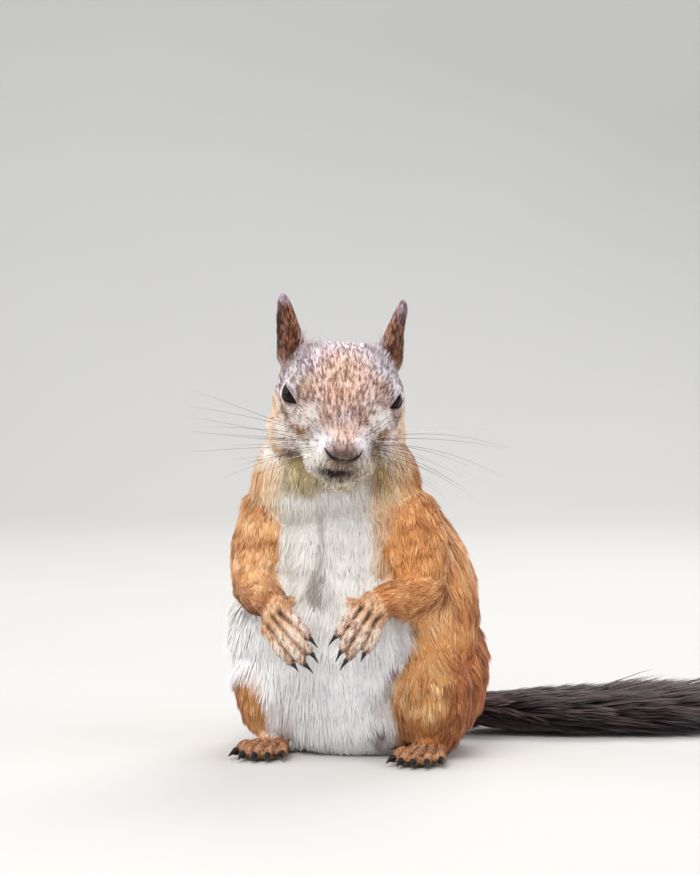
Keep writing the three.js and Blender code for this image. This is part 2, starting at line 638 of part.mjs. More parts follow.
const brush = cut(joined([core, ...tufts]), floorCut, torsoFat, ...legsFat, rootTube(GAP, GAP));
put('tail_brush', brush, BRUSH);

// ---------------------------------------------------------------- origin under the middle of the whole
const box = new THREE.Box3().setFromObject(group);
group.position.set(-(box.min.x + box.max.x) / 2, -(box.min.y + box.max.y) / 2, 0);

export default group;
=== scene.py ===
"""A red squirrel sitting up on its haunches: skin, coat, eyes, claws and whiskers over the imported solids.

Working space: millimetres in the part's own axes, +Z up. The animal faces -Y, its own left side is +X.
"""
import math

import bmesh
import bpy
import numpy as np
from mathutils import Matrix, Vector
from mathutils.bvhtree import BVHTree
from mathutils.kdtree import KDTree


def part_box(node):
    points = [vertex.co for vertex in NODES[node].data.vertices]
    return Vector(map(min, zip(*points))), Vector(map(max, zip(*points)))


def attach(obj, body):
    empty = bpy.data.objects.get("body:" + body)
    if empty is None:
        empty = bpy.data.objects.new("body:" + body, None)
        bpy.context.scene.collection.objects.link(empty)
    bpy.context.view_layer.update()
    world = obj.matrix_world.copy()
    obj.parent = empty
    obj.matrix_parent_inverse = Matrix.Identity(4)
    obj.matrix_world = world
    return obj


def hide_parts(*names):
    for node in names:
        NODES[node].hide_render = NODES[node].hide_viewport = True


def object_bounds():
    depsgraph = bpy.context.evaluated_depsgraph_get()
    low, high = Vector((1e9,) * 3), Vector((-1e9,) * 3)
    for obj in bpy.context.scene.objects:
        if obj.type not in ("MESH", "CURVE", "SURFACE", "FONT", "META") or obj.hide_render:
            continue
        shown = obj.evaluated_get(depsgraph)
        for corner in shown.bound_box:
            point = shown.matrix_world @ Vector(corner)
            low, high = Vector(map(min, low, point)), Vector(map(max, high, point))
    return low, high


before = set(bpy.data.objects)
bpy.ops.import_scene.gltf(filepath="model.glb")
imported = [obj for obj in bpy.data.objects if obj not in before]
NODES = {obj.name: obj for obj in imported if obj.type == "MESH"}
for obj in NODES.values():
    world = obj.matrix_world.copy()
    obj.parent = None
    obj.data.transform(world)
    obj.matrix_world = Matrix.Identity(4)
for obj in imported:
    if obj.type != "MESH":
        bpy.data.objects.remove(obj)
cad_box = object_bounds()
RAD = math.pi / 180
DENSE = 1.0  # share of the tufts that is made


# ---------------------------------------------------------------- named sizes, millimetres and radians
# on the head, s runs along the snout, t to the animal's left and h up
HEAD = dict(x=-2.0, y=-22.0, z=130.0, pitch=18.0 * RAD, roll=3.6 * RAD, yaw=4.5 * RAD)
EYE = dict(s=6.8, t=16.0, h=6.2, r=5.3)
EAR = dict(tip_s=-16.0, tip_t={1: 21.6, -1: 22.6}, tip_h=35.0, base_s=-10.0, base_t=16.6, base_h=10.0)
SIDES = (1, -1)  # the animal's left and right
BODY_YAW = 17.0 * RAD
TAIL_LINE = [
    (12, 33, 12), (33, 42, 10), (58, 47, 8.4), (84, 50, 7.4), (110, 54.5, 6.8), (132, 62, 6.4), (150, 73, 6),
]
TAIL = dict(root_end=0.26, core_wide=10.5, core_high=6.6, side=37.0, top=27.0, lean_side=54.0, lean_top=15.0)
CORE_FULL = 0.8  # how much of the brush's solid core the skin fills
VOXEL = 0.85  # the remesh that joins the flesh solids
SWELL = 0.45  # how far they swell first, to close the gaps between them
WELD = 2e-6  # metres: closer points of a solid are one
SKIN_FLOOR, TUFT_FLOOR = 0.35, 0.12  # the lowest that the skin and a tuft may reach
CAP = 28000  # most tufts in one coat piece
PATCH = 0.003  # width of a tuft's place on the OFBake map


def unit(v):
    v = np.asarray(v, float)
    return v / np.maximum(np.linalg.norm(v, axis=-1, keepdims=True), 1e-9)


def dot(a, b):
    return (a * b).sum(-1)


def step(a, b, x):
    """0 at a, 1 at b, and smooth between them."""
    k = np.clip((x - a) / (b - a), 0, 1)
    return k * k * (3 - 2 * k)


def on_head(s, t, h):
    """A place on the head, from its own s, t and h."""
    s, t, h = np.broadcast_arrays(np.asarray(s, float), t, h)
    (cr, sr), (cp, sp), (cw, sw) = ((math.cos(HEAD[a]), math.sin(HEAD[a])) for a in ("roll", "pitch", "yaw"))
    across = t * cr + h * sr
    rise = h * cr - t * sr
    back = -s * cp - rise * sp
    x = HEAD["x"] + across * cw - back * sw
    y = HEAD["y"] + across * sw + back * cw
    return np.stack([x, y, HEAD["z"] - s * sp + rise * cp], -1)


CENTRE = on_head(0, 0, 0)
SNOUT, SIDE, UP = on_head(*np.eye(3)) - CENTRE
NOSE = on_head(31, 0, -7)


def head_of(p):
    """The head's own s, t and h of points, one row each."""
    return (p - CENTRE) @ np.stack([SNOUT, SIDE, UP], -1)


def ear_line(k):
    """The middle of the ear's base and its tip, on the left (1) or right (-1)."""
    base = on_head(EAR["base_s"], EAR["base_t"] * k, EAR["base_h"])
    return base, on_head(EAR["tip_s"], EAR["tip_t"][k] * k, EAR["tip_h"])


def along_ear(k, p):
    """Each point's share of the way from the ear's base to its tip."""
    base, tip = ear_line(k)
    return ((p - base) @ (tip - base)) / ((tip - base) @ (tip - base))


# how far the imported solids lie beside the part's own axes, read off the left eye
low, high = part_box("eye_left")
SHIFT = np.array((low + high) / 2) * 1000 - on_head(EYE["s"], EYE["t"], EYE["h"])
SHIFT[2] = 0.0


def to_frame(p):
    """Millimetres of the working space as metres of the frame."""
    return (np.asarray(p, float) + SHIFT) / 1000


def from_frame(p):
    """Metres of the frame as millimetres of the working space."""
    return np.asarray(p, float) * 1000 - SHIFT


def lattice(i, seed):
    """A fixed number between -1 and 1 for each cell of a grid."""
    n = (i[0] * 73856093) ^ (i[1] * 19349663) ^ (i[2] * 83492791) ^ (seed * 1274126177)
    n = ((n ^ (n >> 13)) * 1274126177) & 0x7FFFFFFF
    n = ((n ^ (n >> 16)) * 668265263) & 0x7FFFFFFF
    return (n ^ (n >> 15)) / 0x7FFFFFFF * 2 - 1


def noise(p, size, seed=0):
    """Smooth value noise between -1 and 1, with features of this size in millimetres."""
    q = (p / size).T
    i = np.floor(q).astype(np.int64)
    f = q - i
    f = f * f * (3 - 2 * f)
    out = 0
    for c in range(8):
        d = [(c >> a) & 1 for a in range(3)]
        w = 1
        for a in range(3):
            w = w * (f[a] if d[a] else 1 - f[a])
        out = out + w * lattice([i[a] + d[a] for a in range(3)], seed)
    return out


def spline(points, n):
    """Catmull-Rom through the points, at n places a step."""
    p = np.asarray(points, float)
    out = []
    for i in range(len(p) - 1):
        a, b, c, d = p[max(0, i - 1)], p[i], p[i + 1], p[min(len(p) - 1, i + 2)]
        for k in np.arange(n) / n:
            square, cube = 2 * a - 5 * b + 4 * c - d, 3 * b - a - 3 * c + d
            out.append(0.5 * (2 * b + (c - a) * k + square * k**2 + cube * k**3))
    return np.array(out + [p[-1]])


# ---------------------------------------------------------------- meshes from arrays
def get(data, name, width, kind=np.float32):
    out = np.empty(len(data) * width, kind)
    data.foreach_get(name, out)
    return out.reshape(-1, width) if width > 1 else out


def make(name, verts, loops, starts, material, colours=None, normals=None, uvs=(), slot=None):
    """An object from arrays: verts in millimetres, loops of corners, and starts, each face's first corner."""
    me = bpy.data.meshes.new(name)
    me.vertices.add(len(verts))
    me.vertices.foreach_set("co", to_frame(verts).astype(np.float32).ravel())
    me.loops.add(len(loops))
    me.loops.foreach_set("vertex_index", np.asarray(loops, np.int32))
    me.polygons.add(len(starts))
    me.polygons.foreach_set("loop_start", np.asarray(starts, np.int32))
    me.update(calc_edges=True)
    me.polygons.foreach_set("use_smooth", np.ones(len(starts), bool))
    for title, uv in uvs:
        me.uv_layers.new(name=title).data.foreach_set("uv", np.asarray(uv, np.float32).ravel())
    if colours is not None:
        layer = me.color_attributes.new("Coat", "FLOAT_COLOR", "POINT")
        layer.data.foreach_set("color", np.c_[colours, np.ones(len(verts))].astype(np.float32).ravel())
    if normals is not None:
        me.normals_split_custom_set(unit(normals).astype(np.float32))
    me.materials.append(material)
    ob = bpy.data.objects.new(name, me)
    bpy.context.scene.collection.objects.link(ob)
    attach(ob, "root")
    return ob


def faces_of(grid):
    """Loops and starts of faces that all have the same number of corners."""
    grid = np.asarray(grid)
    return grid.ravel(), np.arange(len(grid)) * grid.shape[1]


def tube_quads(rows, around):
    """Quads between closed rings of points, ring after ring."""
    i, j = (x.ravel() for x in np.mgrid[0:rows - 1, 0:around])
    here, there = i * around + j, i * around + (j + 1) % around
    return np.stack([here, there, there + around, here + around], -1)


class Web:
    """Which vertices of a mesh are neighbours."""

    def __init__(self, edges, n):
        self.a = np.concatenate([edges[:, 0], edges[:, 1]])
        self.b = np.concatenate([edges[:, 1], edges[:, 0]])
        self.n = n
        self.deg = np.maximum(np.bincount(self.a, minlength=n), 1)

    def mean(self, x):
        if x.ndim == 1:
            return np.bincount(self.a, x[self.b], self.n) / self.deg
        return np.stack([self.mean(x[:, c]) for c in range(x.shape[1])], -1)

    def soften(self, x, times):
        for _ in range(times):
            x = 0.5 * x + 0.5 * self.mean(x)
        return x


def normals_of(p, tris):
    """The normal at each point of a triangle mesh."""
    n = np.cross(p[tris[:, 1]] - p[tris[:, 0]], p[tris[:, 2]] - p[tris[:, 0]])
    out = np.zeros_like(p)
    for c in range(3):
        for a in range(3):
            out[:, a] += np.bincount(tris[:, c], n[:, a], len(p))
    return unit(out)


# ---------------------------------------------------------------- the tail's line and core
TAIL_POINTS = spline(TAIL_LINE, 30)
TAIL_RUN = np.concatenate([[0], np.cumsum(np.linalg.norm(np.diff(TAIL_POINTS, axis=0), axis=1))])


def tail_place(f):
    return np.stack([np.interp(f * TAIL_RUN[-1], TAIL_RUN, TAIL_POINTS[:, a]) for a in range(3)], -1)


def tail_at(f):
    """Place, direction, across (to the front) and up at this share of the tail's length."""
    f = np.clip(np.atleast_1d(np.asarray(f, float)), 0, 1)
    t = unit(tail_place(np.minimum(f + 0.01, 1)) - tail_place(np.maximum(f - 0.01, 0)))
    u = unit(np.stack([t[:, 1], -t[:, 0], 0 * f], -1))
    up = unit(np.cross(t, u))
    return tail_place(f), t, u, up * np.sign(up[:, 2:])


def tail_share(p, places=60, batch=20000):
    """The share of the tail's length that each point lies beside."""
    grid = tail_at(np.linspace(0, 1, places))[0][:, :2]
    out = np.empty(len(p))
    for i in range(0, len(p), batch):
        gap = ((p[i:i + batch, None, :2] - grid) ** 2).sum(-1)
        out[i:i + batch] = gap.argmin(1) / (places - 1)
    return out


def core_wide(f):
    """Half the width of the brush's solid core."""
    return TAIL["core_wide"] * (0.95 - 0.45 * f * f)


def core_high(f):
    """Half its height."""
    return TAIL["core_high"] * (1.15 - 0.4 * f)


def tail_core(first=0.2, last=0.97, rows=34, around=20):
    """The skin of the brush, which its locks grow from: points, and faces as lists of corners."""
    f = np.linspace(first, last, rows)
    p, _, u, up = tail_at(f)
    end = np.clip((last - f) / 0.05, 0, 1) ** 0.5
    ring = np.linspace(0, 2 * math.pi, around, endpoint=False)
    wide, high = ((half(f) * CORE_FULL * end + 0.3)[:, None, None] for half in (core_wide, core_high))
    verts = p[:, None] + u[:, None] * (np.cos(ring)[None, :, None] * wide)
    verts = verts + up[:, None] * (np.sin(ring)[None, :, None] * high)
    verts[..., 2] = np.maximum(verts[..., 2], 0.6)
    caps = [list(range(around))[::-1], [(rows - 1) * around + j for j in range(around)]]
    return verts.reshape(-1, 3), tube_quads(rows, around).tolist() + caps


# ---------------------------------------------------------------- skin: one body over all the flesh
# how deep the skin lies under the coat on each part of the body
DEPTH = dict(
    torso=3.0, neck=2.6, head=1.2, ear=0.45, upper_arm=1.9, forearm=1.3, hand=0.3,
    thigh=3.0, shank=2.2, foot=0.45, tail_root=2.4, tail_core=0.3,
)
PARTS = list(DEPTH)
FLESH = sorted(n for n in NODES if not n.startswith(("claw_", "eye_", "tail_brush")))


def label_of(name):
    """A node's part, as its place in PARTS, and its side."""
    part = next(i for i, p in enumerate(PARTS) if name.startswith(p))
    return part, 1 if name.endswith("left") else -1 if name.endswith("right") else 0


def is_part(part, *names):
    return np.isin(part, [PARTS.index(n) for n in names])


def gather():
    """The flesh as one closed mesh, a search tree of the solids, and each of their faces' part and side."""
    joined = bmesh.new()
    cad_verts, cad_faces, labels = [], [], []
    for name in FLESH:
        solid = bmesh.new()
        solid.from_mesh(NODES[name].data)
        bmesh.ops.remove_doubles(solid, verts=solid.verts, dist=WELD)
        solid.normal_update()
        solid.verts.index_update()
        base = len(cad_verts)
        cad_verts += [v.co.copy() for v in solid.verts]
        cad_faces += [[base + v.index for v in f.verts] for f in solid.faces]
        labels += [label_of(name)] * len(solid.faces)
        for v in solid.verts:
            v.co += v.normal * (SWELL / 1000)
        me = bpy.data.meshes.new("solid")
        solid.to_mesh(me)
        solid.free()
        joined.from_mesh(me)
        bpy.data.meshes.remove(me)
    verts, faces = tail_core()
    rings = [joined.verts.new(Vector(v)) for v in to_frame(verts)]
    for f in faces:
        joined.faces.new([rings[i] for i in f])
    base = len(cad_verts)
    cad_verts += [Vector(v) for v in to_frame(verts)]
    cad_faces += [[base + i for i in f] for f in faces]
    labels += [label_of("tail_core")] * len(faces)
    bmesh.ops.recalc_face_normals(joined, faces=joined.faces[-len(faces):])
    me = bpy.data.meshes.new("flesh")
    joined.to_mesh(me)
    joined.free()
    ob = bpy.data.objects.new("flesh", me)
    bpy.context.scene.collection.objects.link(ob)
    mod = ob.modifiers.new("Remesh", "REMESH")
    mod.mode = "VOXEL"
    mod.voxel_size = VOXEL / 1000
    out = bpy.data.meshes.new_from_object(ob.evaluated_get(bpy.context.evaluated_depsgraph_get()))
    bpy.data.objects.remove(ob)
    return out, BVHTree.FromPolygons(cad_verts, cad_faces), np.array(labels)


def eye_frame(k):
    """Centre, gaze, towards the front corner and up across the opening, for the left (1) or right (-1) eye."""
    c = on_head(EYE["s"], EYE["t"] * k, EYE["h"])
    g = unit(SIDE * 0.82 * k + SNOUT * 0.53 + UP * 0.24)
    lie = SNOUT * 0.9 - UP * 0.42
    e1 = unit(lie - dot(lie, g) * g)
    e2 = np.cross(g, e1)
    return c, g, e1, e2 * np.sign(dot(e2, UP))


EYES = {k: eye_frame(k) for k in SIDES}
# the edge of both lids on the ball: [towards the front corner, up]
LID_EDGE = [
    (4.7, 0.4), (3.6, 1.15), (2.4, 1.45), (1.2, 1.5), (-0.4, 1.3), (-2.0, 0.8), (-3.4, 0.1), (-4.4, -0.9),
    (-4.0, -2.0), (-2.7, -2.9), (-1.0, -3.25), (0.7, -3.1), (2.0, -2.5), (3.4, -1.2), (4.2, -0.25),
]
LID_MID = -0.7
LID_OUT = np.array([9.0, 8.0])  # half sizes of the ring of lid and fold round the eye
# the ring's rows: [share of the way out, radius from the eye's centre, how far the brow overhangs]
LID_ROWS = [
    (0.0, 5.1, 0), (0.0, 5.5, 0), (0.015, 5.72, 0.05), (0.05, 5.86, 0.2), (0.1, 5.95, 0.45), (0.17, 6.0, 0.7),
    (0.26, 6.0, 0.85), (0.38, 5.95, 0.85), (0.52, 5.9, 0.65), (0.66, 5.8, 0.35), (0.8, 5.7, 0.12),
]
LID_FOOT = 0.86  # share of the way out where the fold meets the skin


def lid_reach(theta):
    """How far from its middle the opening between the lids reaches, at this angle."""
    edge = spline(LID_EDGE + LID_EDGE[:1], 9)[:-1] - [0, LID_MID]
    ang = np.mod(np.arctan2(edge[:, 1], edge[:, 0]), 2 * math.pi)
    order = np.argsort(ang)
    return np.interp(theta, ang[order], np.hypot(*edge[order].T), period=2 * math.pi)


def lid_gap(k, p):
    """How far each point lies outside the opening between the lids, and whether it is on the eye's side."""
    c, g, e1, e2 = EYES[k]
    a1, a2 = (p - c) @ e1, (p - c) @ e2 - LID_MID
    return np.hypot(a1, a2) - lid_reach(np.arctan2(a2, a1)), (p - c) @ g > 0


def skin_round_eye(k, tree, outer):
    """How high the skin lies over the eye's centre at the fold's foot and at the ring's edge."""
    c, g, e1, e2 = EYES[k]
    height = np.zeros((len(outer), 2))
    for i, (a1, a2) in enumerate(outer):
        for j, w in enumerate((LID_FOOT, 1.0)):
            q = c + e1 * a1 * w + e2 * a2 * w
            place = tree.ray_cast(Vector(to_frame(q + g * 16)), Vector(-g))[0]
            if place is not None:
                height[i, j] = dot(from_frame(place) - c, g)
    height = np.maximum(height, -6)
    for _ in range(6):
        height = (np.roll(height, 1, 0) + height * 2 + np.roll(height, -1, 0)) / 4
    return height


def lid_ring(k, tree, around=96):
    """The lids: from the edge that lies on the ball, over its fold, out to the skin."""
    c, g, e1, e2 = EYES[k]
    theta = np.linspace(0, 2 * math.pi, around, endpoint=False)
    circle = np.stack([np.cos(theta), np.sin(theta)], -1)
    inner = circle * lid_reach(theta)[:, None] + [0, LID_MID]
    outer = circle * LID_OUT
    foot, edge = skin_round_eye(k, tree, outer).T
    upper = step(-0.5, 0.9, np.sin(theta))
    clear = step(0.2, 0.8, np.cos(theta - 0.55))  # the fold lies low where the eye looks forward past it
    rows = []
    for w, radius, brow in LID_ROWS:
        q = inner + (outer - inner) * w
        dist = np.hypot(q[:, 0], q[:, 1])
        dome = np.sqrt(np.maximum(radius**2 - dist**2, 0.0)) - np.maximum(dist - radius, 0) * 1.5
        flat = foot - 0.15 + (LID_FOOT - w) * (2.0 - 4.2 * clear)
        fold = np.maximum(dome, flat) + 0.35 * np.exp(-np.abs(dome - flat) * 1.2) * step(0.1, 0.5, w)
        away = step(0.1, 0.45, w)
        rows.append((q, dome * (1 - away) + fold * away + brow * upper * (1 - 0.9 * clear)))
    rows.append((outer * 0.9, foot * 0.8 + edge * 0.2 - 0.25))
    rows.append((outer, edge - 1.0))
    verts = np.concatenate([c + q[:, :1] * e1 + q[:, 1:] * e2 + h[:, None] * g for q, h in rows])
    quads = tube_quads(len(rows), around)[:, [0, 3, 2, 1]]
    facing = np.cross(verts[quads[:, 1]] - verts[quads[:, 0]], verts[quads[:, 2]] - verts[quads[:, 0]]) @ g
    return verts, quads if facing.sum() > 0 else quads[:, ::-1]


# each finger's [knuckle, middle joint, end], and the line of each foot from heel to the roots of the toes
FINGERS = {
    1: [
        [(3.6, -45.4, 57.4), (0.6, -47.6, 54.2), (-2.0, -47.2, 50.4)],
        [(5.6, -46.4, 55.0), (2.4, -48.8, 50.4), (-0.4, -48.0, 45.2)],
        [(8.2, -46.4, 52.8), (5.0, -48.8, 47.4), (1.6, -47.8, 41.8)],
        [(11.4, -45.4, 52.4), (10.4, -47.4, 48.2), (8.0, -46.6, 44.0)],
    ],
    -1: [
        [(-20.6, -39.6, 55.0), (-17.0, -42.2, 52.6), (-13.9, -42.2, 48.8)],
        [(-21.6, -40.4, 52.6), (-17.4, -43.4, 48.6), (-13.2, -43.0, 43.4)],
        [(-23.9, -40.2, 50.0), (-19.8, -43.0, 45.0), (-15.6, -42.6, 39.4)],
        [(-26.9, -38.8, 48.6), (-24.0, -41.0, 43.8), (-20.0, -40.8, 39.2)],
    ],
}
FEET = {1: [(36.5, 1, 4), (28, -31, 3)], -1: [(-20.5, 16, 4), (-29.5, -15.5, 3)]}
TOE_ACROSS = (-7.4, -4.1, -0.1, 3.9, 7.2)
TOE_REACH = (5.2, 9.6, 10.6, 9.4, 4.6)


def digit_lines(k):
    """The lines of the fingers and of the toes on one side, each of three points."""
    fingers = []
    for knuckle, joint, end in np.array(FINGERS[k]):
        fingers.append([knuckle + (knuckle - joint) * 0.9, joint, end + (end - joint) * 0.3])
    heel, front = np.array(FEET[k], float)
    along = unit(front - heel)
    over = np.array([-along[1] * k, along[0] * k, 0])
    toes = []
    for w, reach in zip(TOE_ACROSS, TOE_REACH):
        root, end = front + over * w * 0.8 - along * 5, front + over * w * 1.12 + along * (reach + 2)
        toes.append([root, (root + end) / 2 + [0, 0, 1.0], end])
    return {"hand": fingers, "foot": toes}


def digits(p, part, side):
    """How deep each point lies between two digits, how near the back of one, and its share along it."""
    between, middle, along = np.zeros(len(p)), np.zeros(len(p)), np.zeros(len(p))
    for k in SIDES:
        for name, lines in digit_lines(k).items():
            m = np.nonzero((part == PARTS.index(name)) & (side == k))[0]
            gaps, shares = zip(*(line_gap(p[m], line) for line in lines))
            order = np.argsort(np.array(gaps), 0)
            first, second = np.take_along_axis(np.array(gaps), order, 0)[:2]
            share = np.take_along_axis(np.array(shares), order, 0)[0]
            close = (1 - step(0.1, 1.1, second - first)) * (1 - step(4.5, 6.5, first))
            between[m] = close * step(0.02, 0.16, share)
            middle[m] = step(0.8, 2.4, second - first)
            along[m] = share
    return between, middle, along


NOSTRIL = [(27.6, 7.0, -5.4), (29.6, 5.8, -6.9), (31.2, 3.9, -8.1), (32.2, 1.6, -8.8), (32.4, 0.0, -8.9)]
CLEFT = [(32.3, 0.0, -9.2), (31.2, -0.4, -11.0), (30.0, -0.8, -12.8)]
MOUTH = [
    (21.0, -10.6, -12.9), (25.0, -7.9, -14.5), (27.8, -5.0, -15.6), (28.6, -1.9, -16.1),
    (28.2, 1.2, -15.8), (26.6, 3.8, -14.9), (24.0, 6.4, -14.0),
]
PARTED = dict(x=-3.0, z=107.6, wide=5.9, high=2.0)  # where the lips part, seen from the front


def parted(p):
    """0 in the middle of the parted lips, 1 at their edge."""
    across = (p[:, 0] - PARTED["x"]) / PARTED["wide"]
    return np.hypot(across, (p[:, 2] - PARTED["z"]) / PARTED["high"] - 0.5 * across**2 + 0.2)


def line_gap(q, points):
    """How far each point is from a line, and its share of the way along."""
    line = spline(points, 8)
    best = np.full(len(q), 1e9)
    share = np.zeros(len(q))
    for i in range(len(line) - 1):
        a, d = line[i], line[i + 1] - line[i]
        k = np.clip(((q - a) @ d) / (d @ d), 0, 1)
        gap = np.linalg.norm(q - a - k[:, None] * d, axis=1)
        near = gap < best
        best[near] = gap[near]
        share[near] = (i + k[near]) / (len(line) - 1)
    return best, share


def face_lines(q):
    """Distances to the nostrils, the cleft and the mouth in head space; both sides of the nose are alike."""
    half = q * [1, 0, 1] + np.abs(q) * [0, 1, 0]
    return line_gap(half, NOSTRIL), line_gap(q, CLEFT), line_gap(q, MOUTH)


def labels_of(me, cad, cad_labels):
    """Each vertex's part and side, from the nearest face of the solids."""
    labels = np.array([cad_labels[cad.find_nearest(v)[2]] for v in get(me.vertices, "co", 3)])
    return labels[:, 0], labels[:, 1]


def web_of(me):
    return Web(get(me.edges, "vertices", 2, np.int32), len(me.vertices))


def without_steps(me, part):
    """The vertices' places, with the steps of the voxels smoothed but no bulk lost."""
    web = web_of(me)
    strength = np.where(is_part(part, "hand", "foot", "ear"), 0.22, 0.62)
    strength = web.soften(strength, 4)[:, None]
    p = from_frame(get(me.vertices, "co", 3))
    for i in range(22):
        p = p + (web.mean(p) - p) * strength
        p = p - (web.mean(p) - p) * strength * 1.02
        if i % 2:
            p = p + (web.mean(p) - p) * strength * 0.35
    return p


def refine(me, p):
    """Moves the vertices to these places, with more faces round nose and mouth, where the lines are finest."""
    s, t, h = head_of(from_frame(get(me.vertices, "co", 3))).T
    fine = (s > 20) & (h < -1) & (np.abs(t) < 12) & (h > -24)
    bm = bmesh.new()
    bm.from_mesh(me)
    bm.verts.ensure_lookup_table()
    edges = [e for e in bm.edges if fine[e.verts[0].index] and fine[e.verts[1].index]]
    for v, c in zip(bm.verts, to_frame(p)):
        v.co = c
    bmesh.ops.subdivide_edges(bm, edges=edges, cuts=2, use_grid_fill=True)
    bm.to_mesh(me)
    bm.free()


def sink(p, tris, part, web):
    """Takes the skin down by the coat's depth, which is less on the snout and more on the cheeks."""
    s, t, h = head_of(p).T
    head = is_part(part, "head")
    depth = np.array([DEPTH[n] for n in PARTS])[part] * (1 - 0.6 * head * step(14, 22, s))
    cheek = np.exp(-(((s - 2) / 9) ** 2 + ((np.abs(t) - 19) / 7) ** 2 + ((h + 9) / 9) ** 2))
    depth = web.soften(depth + 1.2 * head * cheek, 14)
    smooth = 0.3 * ~is_part(part, "ear", "hand", "foot")
    for _ in range(3):
        p = p - normals_of(p, tris) * depth[:, None] / 3
        p = p + (web.mean(p) - p) * smooth[:, None]
    return p


def fold_face(p, tris, part):
    """Presses in the nostrils, the cleft and the mouth, and raises the nose's pad and the lips."""
    q = head_of(p)
    s, t, h = q.T
    (nostril, on_nostril), (cleft, _), (mouth, on_mouth) = face_lines(q)
    dent = 0.9 * np.exp(-(nostril / 0.6) ** 2) * step(0, 0.3, on_nostril) + 0.4 * np.exp(-(cleft / 0.7) ** 2)
    dent += 1.7 * np.exp(-(mouth / 1.1) ** 2) * step(0, 0.2, on_mouth) * step(1, 0.8, on_mouth)
    dent += 0.7 * (1 - step(0.3, 1.05, parted(p)))
    pad = 0.5 * np.exp(-((t / 5.5) ** 2 + ((h + 5.6) / 3.4) ** 2)) * step(26, 29, s)
    lip = 0.55 * np.exp(-((mouth - 2.4) / 1.3) ** 2)
    front = is_part(part, "head") * step(16, 22, s)
    return p + normals_of(p, tris) * (front * (pad + lip - dent))[:, None]


def largest_piece(tris, count):
    """The faces of the largest piece that hangs together, of this many points in all."""
    ids = np.arange(count)
    while True:
        new = ids.copy()
        lowest = ids[tris].min(1)
        for c in range(3):
            np.minimum.at(new, tris[:, c], lowest)
        new = new[new]
        if (new == ids).all():
            break
        ids = new
    roots, sizes = np.unique(ids[tris[:, 0]], return_counts=True)
    return tris[ids[tris[:, 0]] == roots[np.argmax(sizes)]]


def open_eyes(p, tris, part, side):
    """Opens the skin over each eye, drops the hollow behind it and lays the lids there."""
    tree = BVHTree.FromPolygons([Vector(v) for v in to_frame(p)], tris.tolist())
    gone = np.zeros(len(p), bool)
    hole = LID_OUT - 1.3
    for c, g, e1, e2 in EYES.values():
        d = p - c
        within = ((d @ e1) / hole[0]) ** 2 + ((d @ e2) / hole[1]) ** 2 < 1
        gone |= within & (d @ g > -3) & is_part(part, "head")
    tris = largest_piece(tris[~gone[tris].any(1)], len(p))
    for k in SIDES:
        verts, quads = lid_ring(k, tree)
        quads = quads + len(p)
        p = np.concatenate([p, verts])
        part = np.concatenate([part, np.full(len(verts), PARTS.index("head"))])
        side = np.concatenate([side, np.full(len(verts), k)])
        tris = np.concatenate([tris, quads[:, [0, 1, 2]], quads[:, [0, 2, 3]]])
    used = np.unique(tris)
    place = np.full(len(p), -1)
    place[used] = np.arange(len(used))
    return p[used], place[tris], part[used], side[used]


def build_skin():
    """The skin's points and triangles, and each point's part and side."""
    me, cad, cad_labels = gather()
    part, _ = labels_of(me, cad, cad_labels)
    refine(me, without_steps(me, part))
    part, side = labels_of(me, cad, cad_labels)
    p = from_frame(get(me.vertices, "co", 3))
    me.calc_loop_triangles()
    tris = get(me.loop_triangles, "vertices", 3, np.int32)
    between, _, _ = digits(p, part, side)
    p = p - normals_of(p, tris) * (1.25 * between)[:, None]
    p = fold_face(sink(p, tris, part, web_of(me)), tris, part)
    p[:, 2] = np.maximum(p[:, 2], SKIN_FLOOR)
    return open_eyes(p, tris, part, side)


P, TRIS, PART, LEFT = build_skin()
N = normals_of(P, TRIS)
EDGES = np.unique(np.sort(np.concatenate([TRIS[:, [0, 1]], TRIS[:, [1, 2]], TRIS[:, [2, 0]]]), 1), axis=0)
WEB = Web(EDGES, len(P))
IS = {n: PART == i for i, n in enumerate(PARTS)}
print("skin", len(P), len(TRIS))

# ---------------------------------------------------------------- the lie of the coat
# which way the hair lies on the arms, the hands and the feet
ARM_LINE = {
    1: dict(upper=(3, -11, -23), fore=(-14.5, -17, -3.5), hand=(-5.3, -2.3, -6.8)),
    -1: dict(upper=(-4, -6, -24), fore=(6.5, -23.5, -3.7), hand=(2.8, -3.4, -7.6)),
}
TOES = {1: (-8.5, -32, -1), -1: (-9, -31.5, -1)}


